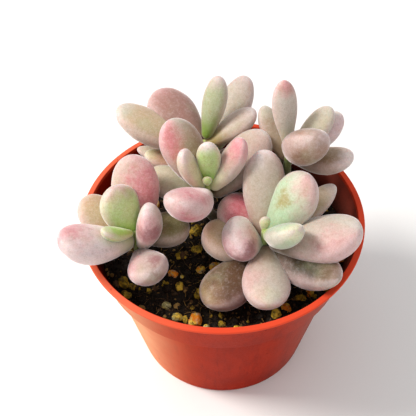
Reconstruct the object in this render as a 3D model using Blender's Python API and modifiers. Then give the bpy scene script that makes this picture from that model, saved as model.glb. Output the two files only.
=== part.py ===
"""Potted graptopetalum: five leafy rosettes on short stems, in gritty soil in a tapered flower pot.

Lengths are in millimetres and angles in degrees, and MM turns them into metres. The pot stands on z = 0
with its axis on the z axis. Each plant is one closed solid, its thick leaves joined to its stem.
"""

import random
from collections import namedtuple
from math import cos, pi, radians, sin, sqrt, tau

import bmesh
import bpy
from mathutils import Matrix, Vector, noise

MM = 0.001
FIT_GAP = 0.3

# Pot
POT_HEIGHT = 80.0
RIM_RADIUS = 60.0
LIP_WIDTH = 2.5
LIP_THICKNESS = 1.2
LIP_CHAMFER = 0.3
COLLAR_HEIGHT = 20.5
COLLAR_TOP_RADIUS = 58.5
COLLAR_FOOT_RADIUS = 53.8
BODY_TOP_RADIUS = 51.3
BASE_RADIUS = 40.5
BASE_CHAMFER = 1.0
WALL = 1.1
DRAIN_HOLES = 8
DRAIN_RADIUS = 3.5
DRAIN_CIRCLE_RADIUS = 28.0
DRAIN_CUT = 6.0
TURN_STEPS = 40
HOLE_SIDES = 16
POT_COLOUR = (0.55, 0.10, 0.04)

# Soil
SOIL_LEVEL = 63.6
SOIL_RINGS = (12, 24, 34, 42, 48)
SOIL_SLOPE = (0.02, 0.03)
SOIL_COLOUR = (0.03, 0.02, 0.015)
STEM_SOCKET_DEPTH = 22.0
STEM_LEAFY_LENGTH = 16.0
STEM_TAPER = (0.85, 1.0, 1.0, 0.9)
CUTTER_OVERRUN = 10.0
GRIT_BITS = 16
GRIT_SIZE = (1.2, 2.0)
GRIT_REACH = 48.0
GRIT_SINK = 0.2
STEM_CLEARANCE = 3.0
STONE_CLEARANCE = 2.5
STONE_STRETCH = Vector((1.1, 0.9, 0.75))
STONE_LIFT = 0.15
STONE_BUMP = 0.28
STONE_BUMP_SCALE = 1.3

# Leaves
LEAF_SIDES = 10
LEAF_RINGS = 8
LEAF_OFFSET = 1.5
LEAF_NECK = 0.36
LEAF_PEAK = 0.62
LEAF_HEEL = 0.07
LEAF_FILL = 1.25
EDGE_NECK = 0.51
EDGE_PEAK = 0.56
UPPER_SHARE = 0.8
LOWER_SHARE = 1.2
PLUMPNESS = 0.72

Leaf = namedtuple("Leaf", "drop heading rise length width curl twist plump", defaults=(20, 0, PLUMPNESS))
Plant = namedtuple("Plant", "name crown root stem_radius colour leaves")
Stone = namedtuple("Stone", "x y size colour")

LILAC = (0.62, 0.42, 0.38)
CREAM = (0.60, 0.50, 0.36)

# A leaf's drop is how far below the crown it grows. Heading 0 points to +x and 90 to the back.
PLANTS = (
    Plant("plant_front_left", (-35, -17, 84), (-34, -12), 2.0, LILAC, (
        Leaf(1, 134, 67, 24, 17),
        Leaf(3, 93, 50, 35, 20, curl=25, twist=-5),
        Leaf(6, 148, 30, 29, 17.5),
        Leaf(0, 210, 30, 33, 19, curl=25),
        Leaf(5, -5, 80, 24, 14.5, curl=25),
        Leaf(8, -70, 32, 27, 16.5, twist=10),
        Leaf(-4, 222, 40, 17, 7.5, curl=15),
        Leaf(0, 28, -6, 22, 17, curl=15),
    )),
    Plant("plant_front_right", (17, -18, 86), (17, -12), 3.0, LILAC, (
        Leaf(2, 36, 53, 31.5, 19.5),
        Leaf(5, 90, 50, 37.5, 17.5),
        Leaf(1, -15, 25, 39, 22, curl=35),
        Leaf(-3, -55, 47, 24, 13.5, curl=15, twist=-10),
        Leaf(6, -163, 50, 18.5, 19.5, curl=30, twist=-14),
        Leaf(9, 168, 16, 25, 19),
        Leaf(5, -90, 3, 30, 19),
        Leaf(10, -136, -7, 32, 20),
        Leaf(7, -39, 15, 35, 18),
        Leaf(10, 45, 17, 33, 16),
        Leaf(6, 39, 15, 39, 11.5, curl=10),
        Leaf(-0.5, 85, 70, 7, 5, curl=10),
        Leaf(7.5, 125, 22, 26, 19),
    )),
    Plant("plant_centre", (-6, 1, 97), (0, 9), 2.2, CREAM, (
        Leaf(4, 132, 47, 32, 18.5, curl=15, twist=-5),
        Leaf(3, 168, 67, 21, 10.5, curl=25),
        Leaf(2, 82, 85, 21, 10),
        Leaf(4, 21, 60, 27, 12),
        Leaf(7, 46, 22, 36, 20, curl=25),
        Leaf(5, -115, 38, 31, 18.5, twist=5),
        Leaf(10, 150, 7, 28, 16),
        Leaf(-1, -90, 80, 5, 4, curl=10),
    )),
    Plant("plant_back_left", (-8, 28, 94), (-7, 30), 2.0, LILAC, (
        Leaf(3, 164, 21, 41, 18, curl=15),
        Leaf(2, 131, 21, 34, 22, curl=15),
        Leaf(-2, 64, 60, 28, 11, curl=15),
        Leaf(8, 58, 32, 41, 16),
        Leaf(1, 25, 27, 26, 12.5, curl=5),
        Leaf(10, 168, 3, 30, 8.5),
        Leaf(12.5, 178, 13, 26, 12),
        Leaf(8, 100, -8, 26, 15, curl=15),
        Leaf(11, 30, -15, 26, 14, curl=15),
    )),
    Plant("plant_back_right", (28, 18, 101), (29, 22), 2.0, CREAM, (
        Leaf(0, 103, 66, 28, 10.7),
        Leaf(6, 37, 39, 27, 12),
        Leaf(6, 35, 23, 29, 14),
        Leaf(-2, -68, 48, 27.5, 18.5, curl=15, twist=-10, plump=0.8),
        Leaf(4, -31, 25, 29, 14, curl=25),
        Leaf(8, 115, 30, 26, 10),
        Leaf(10, 85, -5, 24, 13, curl=15),
        Leaf(12, 140, -10, 22, 12, curl=15),
    )),
)

AMBER = (0.55, 0.25, 0.04)
OCHRE = (0.40, 0.28, 0.06)
PALE = (0.45, 0.43, 0.28)

STONES = (
    Stone(-11, -43, 6.4, AMBER),
    Stone(-18, -41.5, 4.6, PALE),
    Stone(-19, -10, 3.6, OCHRE),
    Stone(-11, -7, 4.6, OCHRE),
    Stone(-21, -20, 4.0, AMBER),
    Stone(-18, -27, 4.0, OCHRE),
    Stone(-23, -36, 3.8, PALE),
    Stone(-9, -18, 4.0, AMBER),
    Stone(-42, -24, 4.8, OCHRE),
    Stone(-30, 20, 3.6, AMBER),
    Stone(32, -33, 4.6, OCHRE),
    Stone(44, 20, 4.2, AMBER),
    Stone(-12, 4, 6.0, OCHRE),
)


def clear_scene():
    for item in list(bpy.data.objects):
        bpy.data.objects.remove(item, do_unlink=True)


def new_collection(name, helper=False):
    made = bpy.data.collections.new(name)
    made.hide_render = helper
    bpy.context.scene.collection.children.link(made)
    return made


def new_object(name, data, home):
    made = bpy.data.objects.new(name, data)
    home.objects.link(made)
    return made


def new_material(name, colour, roughness):
    made = bpy.data.materials.new(name)
    made.use_nodes = True
    shader = made.node_tree.nodes["Principled BSDF"]
    shader.inputs["Base Color"].default_value = (*colour, 1.0)
    shader.inputs["Roughness"].default_value = roughness
    shader.inputs["Metallic"].default_value = 0.0
    return made


def as_helper(item):
    item.hide_render = True
    item.display_type = "WIRE"
    return item


def empty_out(helpers):
    for item in list(helpers.objects):
        bpy.data.objects.remove(item, do_unlink=True)
    bpy.data.collections.remove(helpers)


def evaluated_mesh(item):
    graph = bpy.context.evaluated_depsgraph_get()
    return bpy.data.meshes.new_from_object(item.evaluated_get(graph), depsgraph=graph)


def apply_modifiers(item):
    item.data = evaluated_mesh(item)
    item.modifiers.clear()


def mesh_object(name, bm, home):
    mesh = bpy.data.meshes.new(name)
    bm.to_mesh(mesh)
    bm.free()
    return new_object(name, mesh, home)


def turned(name, profile, home):
    """An object turned about the z axis from (radius, height) points, which start and end on the axis."""
    mesh = bpy.data.meshes.new(name)
    points = [(radius * MM, 0.0, height * MM) for radius, height in profile]
    mesh.from_pydata(points, [(i, i + 1) for i in range(len(points) - 1)], [])
    item = new_object(name, mesh, home)
    screw = item.modifiers.new("Turn", "SCREW")
    screw.steps = TURN_STEPS
    screw.render_steps = TURN_STEPS
    screw.use_merge_vertices = True
    screw.merge_threshold = 0.0001
    return item


def boolean(item, operation, others):
    joint = item.modifiers.new(operation.title(), "BOOLEAN")
    joint.operation = operation
    joint.operand_type = "COLLECTION"
    joint.collection = others
    joint.solver = "EXACT"


def drill(place, radius, depth, turn, home):
    """A round cutter centred on place, its axis turned by a matrix."""
    bm = bmesh.new()
    bmesh.ops.create_cone(bm, cap_ends=True, segments=HOLE_SIDES, radius1=radius * MM, radius2=radius * MM,
                          depth=depth * MM)
    cutter = as_helper(mesh_object("drill", bm, home))
    cutter.matrix_world = Matrix.Translation(place) @ turn
    return cutter


def inner_radius(height):
    """The pot's inside radius in its collar, which holds the top of the soil."""
    low = POT_HEIGHT - COLLAR_HEIGHT + WALL
    high = POT_HEIGHT - LIP_THICKNESS
    share = (height - low) / (high - low)
    foot = COLLAR_FOOT_RADIUS - WALL
    return foot + share * (COLLAR_TOP_RADIUS - WALL - foot)


def soil_height(x, y):
    """The soil's level in mm: a little higher at the back and right, with low swells."""
    swell = 0.6 * sin(x / 9.0) * cos(y / 11.0) + 0.25 * sin(x / 3.7 + y / 4.3)
    return SOIL_LEVEL + SOIL_SLOPE[0] * x + SOIL_SLOPE[1] * y + swell


def make_pot(home, cutters):
    step = POT_HEIGHT - COLLAR_HEIGHT
    profile = (
        (0, WALL),
        (BASE_RADIUS - WALL, WALL),
        (BODY_TOP_RADIUS - WALL, step + WALL),
        (COLLAR_FOOT_RADIUS - WALL, step + WALL),
        (COLLAR_TOP_RADIUS - WALL, POT_HEIGHT - LIP_THICKNESS),
        (RIM_RADIUS - LIP_WIDTH, POT_HEIGHT),
        (RIM_RADIUS - LIP_CHAMFER, POT_HEIGHT),
        (RIM_RADIUS, POT_HEIGHT - LIP_CHAMFER),
        (RIM_RADIUS, POT_HEIGHT - LIP_THICKNESS),
        (COLLAR_TOP_RADIUS, POT_HEIGHT - LIP_THICKNESS),
        (COLLAR_FOOT_RADIUS, step),
        (BODY_TOP_RADIUS, step),
        (BASE_RADIUS, BASE_CHAMFER),
        (BASE_RADIUS - BASE_CHAMFER, 0),
        (0, 0),
    )
    pot = turned("pot", profile, home)
    for i in range(DRAIN_HOLES):
        angle = tau * i / DRAIN_HOLES
        place = Vector((cos(angle), sin(angle), 0)) * DRAIN_CIRCLE_RADIUS * MM
        drill(place, DRAIN_RADIUS, DRAIN_CUT, Matrix(), cutters)
    boolean(pot, "DIFFERENCE", cutters)
    apply_modifiers(pot)
    pot.data.materials.append(new_material("pot_plastic", POT_COLOUR, 0.45))
    return pot


def stem_route(plant):
    """Where the stem leaves the soil, where it turns upright below its leaves, and where it ends."""
    foot = Vector((*plant.root, soil_height(*plant.root)))
    crown = Vector(plant.crown)
    highest = max(-leaf.drop for leaf in plant.leaves)
    return foot, crown - Vector((0, 0, STEM_LEAFY_LENGTH)), crown + Vector((0, 0, highest))


def drill_socket(plant, cutters):
    """The hole that a stem stands in, which follows the stem's lean."""
    foot, turn, _ = stem_route(plant)
    along = (turn - foot).normalized()
    aim = along.to_track_quat("Z", "Y").to_matrix().to_4x4()
    middle = foot + along * (CUTTER_OVERRUN - STEM_SOCKET_DEPTH) / 2
    drill(middle * MM, plant.stem_radius + FIT_GAP, STEM_SOCKET_DEPTH + CUTTER_OVERRUN, aim, cutters)


def make_stone(name, stone, size, home):
    """A rough lump of grit, half sunk in the soil."""
    bm = bmesh.new()
    bmesh.ops.create_icosphere(bm, subdivisions=2, radius=1.0)
    middle = Vector((stone.x, stone.y, soil_height(stone.x, stone.y) + STONE_LIFT * stone.size))
    for vertex in bm.verts:
        place = vertex.co * STONE_BUMP_SCALE + Vector((stone.x, stone.y, 0))
        reach = size / 2 * (1.0 + STONE_BUMP * noise.noise(place))
        vertex.co = (middle + vertex.co * STONE_STRETCH * reach) * MM
    return mesh_object(name, bm, home)


def clear_of_holes(x, y):
    from_stems = min(Vector((x - p.root[0], y - p.root[1])).length - p.stem_radius for p in PLANTS)
    from_stones = min(Vector((x - s.x, y - s.y)).length - s.size / 2 for s in STONES)
    return from_stems > STEM_CLEARANCE and from_stones > STONE_CLEARANCE


def scatter_grit(home):
    """Small bits of grit all over the soil, which are joined to it."""
    rng = random.Random(11)
    placed = 0
    while placed < GRIT_BITS:
        radius = GRIT_REACH * sqrt(rng.random())
        angle = tau * rng.random()
        x, y = radius * cos(angle), radius * sin(angle)
        size = rng.uniform(*GRIT_SIZE)
        if not clear_of_holes(x, y):
            continue
        bm = bmesh.new()
        bmesh.ops.create_icosphere(bm, subdivisions=1, radius=size * MM)
        bit = mesh_object("grit", bm, home)
        bit.location = Vector((x, y, soil_height(x, y) - GRIT_SINK * size)) * MM
        bit.scale = (1.0, rng.uniform(0.7, 1.0), rng.uniform(0.6, 0.9))
        bit.rotation_euler = (0, 0, tau * rng.random())
        placed += 1


def make_soil(home, cutters, bits):
    """The root ball: it fills the pot, and its top follows soil_height."""
    step = POT_HEIGHT - COLLAR_HEIGHT
    edge = inner_radius(SOIL_LEVEL) - FIT_GAP
    profile = (
        (0, WALL + FIT_GAP),
        (BASE_RADIUS - WALL - FIT_GAP, WALL + FIT_GAP),
        (BODY_TOP_RADIUS - WALL - FIT_GAP, step + WALL + FIT_GAP),
        (COLLAR_FOOT_RADIUS - WALL - FIT_GAP, step + WALL + FIT_GAP),
        (edge, SOIL_LEVEL),
        *((radius, SOIL_LEVEL) for radius in reversed(SOIL_RINGS)),
        (0, SOIL_LEVEL),
    )
    soil = turned("soil", profile, home)
    apply_modifiers(soil)
    for vertex in soil.data.vertices:
        x, y, z = vertex.co / MM
        if z < SOIL_LEVEL - FIT_GAP:
            continue
        height = soil_height(x, y)
        radius = sqrt(x * x + y * y)
        if radius > edge - FIT_GAP:
            share = (inner_radius(height) - FIT_GAP) / radius
            x, y = x * share, y * share
        vertex.co = Vector((x, y, height)) * MM
    soil.data.flip_normals()
    scatter_grit(bits)
    boolean(soil, "UNION", bits)
    apply_modifiers(soil)
    boolean(soil, "DIFFERENCE", cutters)
    apply_modifiers(soil)
    soil.data.materials.append(new_material("soil_mix", SOIL_COLOUR, 0.95))
    return soil


def leaf_outline(t, peak, neck):
    """Half width along a leaf as a share of its widest: a narrow base, then full, then a round tip."""
    if t > peak:
        share = sqrt(max(0.0, 1 - ((t - peak) / (1 - peak)) ** 2))
    else:
        share = neck + (1 - neck) * sin(pi / 2 * t / peak) ** LEAF_FILL
    return share * sqrt(max(0.0, 1 - (max(0.0, LEAF_HEEL - t) / LEAF_HEEL) ** 2))


def make_leaf(leaf, crown, home):
    """One thick leaf: it runs along its own +Z, and its upper side faces -X."""
    bm = bmesh.new()
    bmesh.ops.create_uvsphere(bm, u_segments=LEAF_SIDES, v_segments=LEAF_RINGS, radius=1.0)
    curl = radians(leaf.curl)
    for vertex in bm.verts:
        t = (1 + vertex.co.z) / 2
        bend = (t - 0.5) * curl
        along = leaf.length * (sin(bend) + sin(curl / 2)) / curl
        lift = leaf.length * (cos(curl / 2) - cos(bend)) / curl
        ring = vertex.co.xy.normalized()
        side = ring.y * leaf.width / 2 * leaf_outline(t, LEAF_PEAK, LEAF_NECK)
        thickness = leaf.width * leaf.plump / 2 * leaf_outline(t, EDGE_PEAK, EDGE_NECK)
        face = -ring.x * thickness * (UPPER_SHARE if ring.x < 0 else LOWER_SHARE)
        vertex.co = Vector((-lift - face * cos(bend), side, along - face * sin(bend))) * MM
    made = mesh_object("leaf", bm, home)
    heading = radians(leaf.heading)
    base = Vector(crown) + Vector((LEAF_OFFSET * cos(heading), LEAF_OFFSET * sin(heading), -leaf.drop))
    aim = Matrix.Rotation(heading, 4, "Z") @ Matrix.Rotation(radians(90 - leaf.rise), 4, "Y")
    twist = Matrix.Rotation(radians(leaf.twist), 4, "Z")
    made.matrix_world = Matrix.Translation(base * MM) @ aim @ twist
    return made


def make_stem(plant, home):
    """A tapered tube from inside its socket in the soil to the crown."""
    foot, turn, top = stem_route(plant)
    start = foot - (turn - foot).normalized() * (STEM_SOCKET_DEPTH - FIT_GAP)
    curve = bpy.data.curves.new(plant.name, "CURVE")
    curve.dimensions = "3D"
    curve.bevel_depth = plant.stem_radius * MM
    curve.bevel_resolution = 1
    curve.use_fill_caps = True
    spline = curve.splines.new("POLY")
    spline.points.add(len(STEM_TAPER) - 1)
    for point, place, radius in zip(spline.points, (start, foot, turn, top), STEM_TAPER):
        point.co = (*(place * MM), 1.0)
        point.radius = radius
    tube = new_object("stem", curve, home)
    bpy.context.view_layer.update()
    mesh = evaluated_mesh(tube)
    bpy.data.objects.remove(tube, do_unlink=True)
    bm = bmesh.new()
    bm.from_mesh(mesh)
    bmesh.ops.remove_doubles(bm, verts=bm.verts, dist=1e-6)
    bmesh.ops.recalc_face_normals(bm, faces=bm.faces)
    return mesh_object(plant.name, bm, home)


def make_plant(plant, home):
    """A stem with its leaves joined to it."""
    leaves = new_collection(plant.name + "_leaves", helper=True)
    for leaf in plant.leaves:
        as_helper(make_leaf(leaf, plant.crown, leaves))
    item = make_stem(plant, home)
    boolean(item, "UNION", leaves)
    bpy.context.view_layer.update()
    apply_modifiers(item)
    empty_out(leaves)
    item.data.materials.clear()
    item.data.materials.append(new_material(plant.name + "_leaf", plant.colour, 0.6))
    return item


def main():
    clear_scene()
    home = new_collection("potted_graptopetalum")
    drain_cutters = new_collection("drain_cutters", helper=True)
    soil_cutters = new_collection("soil_cutters", helper=True)
    grit_bits = new_collection("grit_bits", helper=True)

    make_pot(home, drain_cutters)

    for plant in PLANTS:
        drill_socket(plant, soil_cutters)
        make_plant(plant, home)

    for i, stone in enumerate(STONES, 1):
        lump = make_stone(f"grit_{i}", stone, stone.size, home)
        lump.data.materials.append(new_material(f"grit_{i}", stone.colour, 0.8))
        as_helper(make_stone(f"socket_{i}", stone, stone.size + 2.5 * FIT_GAP, soil_cutters))

    make_soil(home, soil_cutters, grit_bits)

    for helpers in (drain_cutters, soil_cutters, grit_bits):
        empty_out(helpers)


main()
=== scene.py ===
"""Scene of a potted graptopetalum: five plump, powdery rosettes in gritty peat, in a plastic pot.

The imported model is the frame. The pot, the soil, the grit and the five plants are made here in a finer
form over the same sizes, and each gets a procedural finish. Lengths are in millimetres where nothing
else is said, angles are in degrees, and MM turns a length into metres.
"""

import logging
import math
from dataclasses import dataclass
from enum import Enum
from typing import Any, Callable, Sequence, Union

import bmesh
import bpy
from mathutils import Matrix, Vector, noise


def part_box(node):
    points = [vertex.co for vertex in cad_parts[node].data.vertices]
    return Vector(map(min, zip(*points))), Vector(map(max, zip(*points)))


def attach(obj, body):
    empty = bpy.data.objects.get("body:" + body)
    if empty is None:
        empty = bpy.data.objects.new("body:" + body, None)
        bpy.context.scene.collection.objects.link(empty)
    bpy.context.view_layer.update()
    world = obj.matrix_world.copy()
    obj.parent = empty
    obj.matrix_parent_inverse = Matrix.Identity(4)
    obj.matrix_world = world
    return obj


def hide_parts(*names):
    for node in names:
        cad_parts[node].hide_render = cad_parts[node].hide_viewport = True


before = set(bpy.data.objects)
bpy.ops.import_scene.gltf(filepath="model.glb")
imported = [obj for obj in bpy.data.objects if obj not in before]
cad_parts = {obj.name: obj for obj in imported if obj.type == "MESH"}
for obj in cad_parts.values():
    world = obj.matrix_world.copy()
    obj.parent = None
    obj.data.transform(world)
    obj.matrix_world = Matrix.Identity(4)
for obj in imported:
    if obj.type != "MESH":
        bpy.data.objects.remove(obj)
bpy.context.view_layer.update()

MM = 0.001
OFF_LEAF = 9.0
ON_AXIS = 1e-9
ON_POLE = 1e-5
SHORTEST_CUT = 1e-4
LONGEST_CUT = 0.45
ROOT = "root"
log = logging.getLogger("potted_graptopetalum")

Number = Union[float, "Value"]
Socket = bpy.types.NodeSocket


def linear(channel: float) -> float:
    """Turns one display colour channel, 0 to 255, into scene linear light."""
    share = channel / 255
    return share / 12.92 if share <= 0.04045 else ((share + 0.055) / 1.055) ** 2.4


class Tint(Enum):
    """Colours of the object, as display values from 0 to 255."""

    MEADOW = (136, 162, 76)
    SPRING = (182, 222, 104)
    FERN = (206, 232, 164)
    MINT = (196, 218, 186)
    BUTTER = (236, 234, 196)
    PEARL = (224, 214, 202)
    ASH = (206, 196, 182)
    CLAY = (180, 152, 138)
    SCAR = (176, 160, 104)
    LIME = (186, 204, 122)
    SAGE = (186, 192, 156)
    JADE = (176, 194, 162)
    MILK = (220, 210, 186)
    OLIVE = (138, 130, 86)
    MOSS = (88, 80, 42)
    # A dark olive painted on leaf bases and on whole leaves as shade from the leaves above them.
    PAINTED_SHADE = (60, 52, 32)
    STRAW = (198, 168, 120)
    CREAM = (212, 190, 160)
    PEACH = (222, 184, 156)
    SHELL = (218, 198, 184)
    LILAC = (214, 194, 190)
    FROST = (246, 232, 230)
    GREY = (200, 188, 172)
    SAND = (188, 170, 150)
    PINK = (214, 172, 168)
    ROSE = (208, 98, 116)
    BLUSH = (238, 160, 168)
    DUSK = (194, 164, 150)
    BRUISE = (166, 116, 120)
    MAUVE = (172, 140, 128)
    BRONZE = (150, 118, 96)
    TAN = (174, 150, 124)
    RUST = (190, 132, 92)
    UMBER = (104, 78, 56)
    COCOA = (120, 94, 78)
    STEM_GREEN = (124, 132, 92)
    AMBER = (246, 150, 34)
    YELLOW = (244, 206, 84)
    OCHRE = (180, 150, 50)
    PALE_GRIT = (206, 198, 150)
    PEAT = (34, 27, 21)
    PEAT_LIGHT = (134, 103, 70)
    BARK = (176, 142, 86)
    # The plastic painted lighter, as lit from above, for the lip's top and the pale left side; POT_RED
    # below is the same plastic on the wall.
    POT_LIT_PLASTIC = (220, 84, 56)
    POT_RED = (166, 42, 6)
    POT_DEEP = (128, 25, 6)
    # Pale colour for real dust and for the painted highlight on the pot's left side.
    POT_DUST_AND_HIGHLIGHT = (238, 176, 138)
    POT_PIT = (84, 22, 14)
    FLOOR = (244, 243, 241)

    @property
    def rgba(self) -> tuple[float, float, float, float]:
        """The tint as a scene linear colour with full alpha."""
        red, green, blue = (linear(channel) for channel in self.value)
        return red, green, blue, 1.0


@dataclass(frozen=True)
class Pattern:
    """A kind of noise.

    It has its cycles in a metre, its finer octaves, a shift that sets it apart, the octaves' strength,
    and the share of its cycles that is left along the height, which draws it out into streaks.
    """

    scale: float
    octaves: float
    shift: float = 0.0
    strength: float = 0.5
    upright: float = 1.0


def math_method(operation: str, last: bool = False) -> Callable[..., "Value"]:
    """Makes a method that works out a sum on a value by a math node.

    Args:
        operation: Blender's name for the sum.
        last: whether the value that has the method comes after the other number.

    Returns:
        The method.
    """
    def method(value: "Value", *others: Number) -> "Value":
        """Adds the math node."""
        terms = (*others, value) if last else (value, *others)
        return value.graph.math(operation, *terms)

    return method


class Value:
    """A number in a node tree. Sums on it add math nodes, so that a rule reads as a formula."""

    def __init__(self, graph: "Graph", socket: Socket) -> None:
        """Keeps the tree and the socket that carries the number."""
        self.graph = graph
        self.socket = socket

    __add__ = math_method("ADD")
    __radd__ = math_method("ADD", last=True)
    __sub__ = math_method("SUBTRACT")
    __rsub__ = math_method("SUBTRACT", last=True)
    __mul__ = math_method("MULTIPLY")
    __rmul__ = math_method("MULTIPLY", last=True)
    __truediv__ = math_method("DIVIDE")
    __pow__ = math_method("POWER")
    at_least = math_method("MAXIMUM")
    at_most = math_method("MINIMUM")
    over = math_method("GREATER_THAN")
    root = math_method("SQRT")
    size = math_method("ABSOLUTE")
    sine = math_method("SINE")
    cosine = math_method("COSINE")

    def rise(self, low: float, high: float) -> "Value":
        """A smooth step.

        Args:
            low: where it leaves nought.
            high: where it reaches one.

        Returns:
            The step.
        """
        inputs = {"Value": self, "From Min": low, "From Max": high}
        step = self.graph.call("ShaderNodeMapRange", inputs, interpolation_type="SMOOTHSTEP")
        return Value(self.graph, step)


@dataclass(frozen=True)
class Coat:
    """A tint that is laid on, by its share, where a mask rises from low to high."""

    tint: Tint
    low: float
    high: float
    share: float

    def amount(self, mask: Value) -> Value:
        """How much of the coat lies at a point."""
        return mask.rise(self.low, self.high) * self.share


class Graph:
    """A node tree with short calls that add a node and join its sockets."""

    def __init__(self, tree: bpy.types.NodeTree) -> None:
        """Keeps the tree that the calls build in. Its patterns are read at place, if that is set."""
        self.tree = tree
        self.place: Any = None

    def add(self, kind: str, **settings: Any) -> bpy.types.Node:
        """Adds one node.

        Args:
            kind: Blender's name for the kind of node.
            settings: the node's own settings, such as its operation.

        Returns:
            The new node.
        """
        node = self.tree.nodes.new(kind)
        for name, value in settings.items():
            setattr(node, name, value)
        return node

    def feed(self, socket: Socket, value: Any) -> None:
        """Sets or links an input.

        Args:
            socket: the input.
            value: a number or colour that it is set to, or a value or socket that it is linked to.
        """
        if isinstance(value, Value):
            self.tree.links.new(value.socket, socket)
        elif isinstance(value, Socket):
            self.tree.links.new(value, socket)
        else:
            socket.default_value = value

    def call(self, kind: str, inputs: dict[Any, Any], **settings: Any) -> Socket:
        """Adds a node and feeds its inputs.

        Args:
            kind: Blender's name for the kind of node.
            inputs: values by the input's name or number.
            settings: the node's own settings.

        Returns:
            The node's first output.
        """
        node = self.add(kind, **settings)
        for key, value in inputs.items():
            self.feed(node.inputs[key], value)
        return node.outputs[0]

    def math(self, operation: str, *terms: Number) -> Value:
        """One sum of up to three terms."""
        return Value(self, self.call("ShaderNodeMath", dict(enumerate(terms)), operation=operation))

    def vector(self, operation: str, *terms: Any) -> Socket:
        """One vector sum, whose terms are vectors."""
        return self.call("ShaderNodeVectorMath", dict(enumerate(terms)), operation=operation)

    def scaled(self, vector: Any, factor: Number) -> Socket:
        """A vector times a number."""
        return self.call("ShaderNodeVectorMath", {0: vector, "Scale": factor}, operation="SCALE")

    def split(self, vector: Socket) -> tuple[Value, ...]:
        """The three parts of a vector."""
        parts = self.call("ShaderNodeSeparateXYZ", {0: vector}).node.outputs
        return tuple(Value(self, part) for part in parts)

    def mix(self, factor: Number, first: Any, second: Any, blend: str = "MIX") -> Socket:
        """A colour between two, or one laid over the other by a blend.

        Args:
            factor: share of the second colour.
            first: colour, tint or socket.
            second: colour, tint or socket.
            blend: Blender's name for the blend.

        Returns:
            The mixed colour's socket.
        """
        node = self.add("ShaderNodeMix", data_type="RGBA", blend_type=blend)
        by_name = {socket.identifier: socket for socket in node.inputs}
        self.feed(by_name["Factor_Float"], factor)
        self.feed(by_name["A_Color"], first.rgba if isinstance(first, Tint) else first)
        self.feed(by_name["B_Color"], second.rgba if isinstance(second, Tint) else second)
        return next(socket for socket in node.outputs if socket.identifier == "Result_Color")

    def pattern(self, pattern: Pattern, seed: Number = 0.0) -> Value:
        """Soft noise from 0 to 1.

        Args:
            pattern: the noise's scale and kind.
            seed: moves the noise on, so that pieces that share a pattern differ.

        Returns:
            The noise.
        """
        inputs = {"W": seed + pattern.shift, "Scale": pattern.scale, "Detail": pattern.octaves,
                  "Roughness": pattern.strength}
        if self.place is not None:
            inputs["Vector"] = self.place
        if pattern.upright != 1.0:
            stretch = {"Vector": self.place, "Scale": (1.0, 1.0, pattern.upright)}
            inputs["Vector"] = self.call("ShaderNodeMapping", stretch)
        return Value(self, self.call("ShaderNodeTexNoise", inputs, noise_dimensions="4D"))


class Shader(Graph):
    """A material's node tree."""

    def __init__(self, name: str) -> None:
        """Makes the material with its Principled shader and Object coordinates.

        Args:
            name: the material's name.
        """
        self.material = bpy.data.materials.new(name)
        self.material.use_nodes = True
        super().__init__(self.material.node_tree)
        self.surface = self.tree.nodes["Principled BSDF"]
        self.place = self.add("ShaderNodeTexCoord").outputs["Object"]

    def attribute(self, name: str) -> bpy.types.Node:
        """The node that reads an attribute of the mesh."""
        return self.add("ShaderNodeAttribute", attribute_name=name)

    def number(self, name: str) -> Value:
        """A number attribute of the mesh."""
        return Value(self, self.attribute(name).outputs["Fac"])

    def colour(self, name: str) -> Socket:
        """A colour attribute of the mesh."""
        return self.attribute(name).outputs["Color"]

    def coated(self, skin: Any, *coats: tuple[Coat, Value]) -> Socket:
        """Lays coats on a skin.

        Args:
            skin: the colour that they lie on.
            coats: each coat with its mask, the lowest first.

        Returns:
            The colour on top.
        """
        for coat, mask in coats:
            skin = self.mix(coat.amount(mask), skin, coat.tint)
        return skin

    def cells(self, scale: float) -> Value:
        """Distance to the nearest of some scattered points, from 0 to about 1."""
        return Value(self, self.call("ShaderNodeTexVoronoi", {"Vector": self.place, "Scale": scale}))

    def bump(self, height: Value, depth: float) -> None:
        """Roughens the surface by a relief from 0 to 1 that is depth millimetres deep."""
        relief = self.call("ShaderNodeBump", {"Height": height, "Distance": depth * MM})
        self.feed(self.surface.inputs["Normal"], relief)

    def set(self, **values: Any) -> None:
        """Sets or links the shader's inputs, an underscore standing for a space."""
        for name, value in values.items():
            self.feed(self.surface.inputs[name.replace("_", " ")], value)


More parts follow.
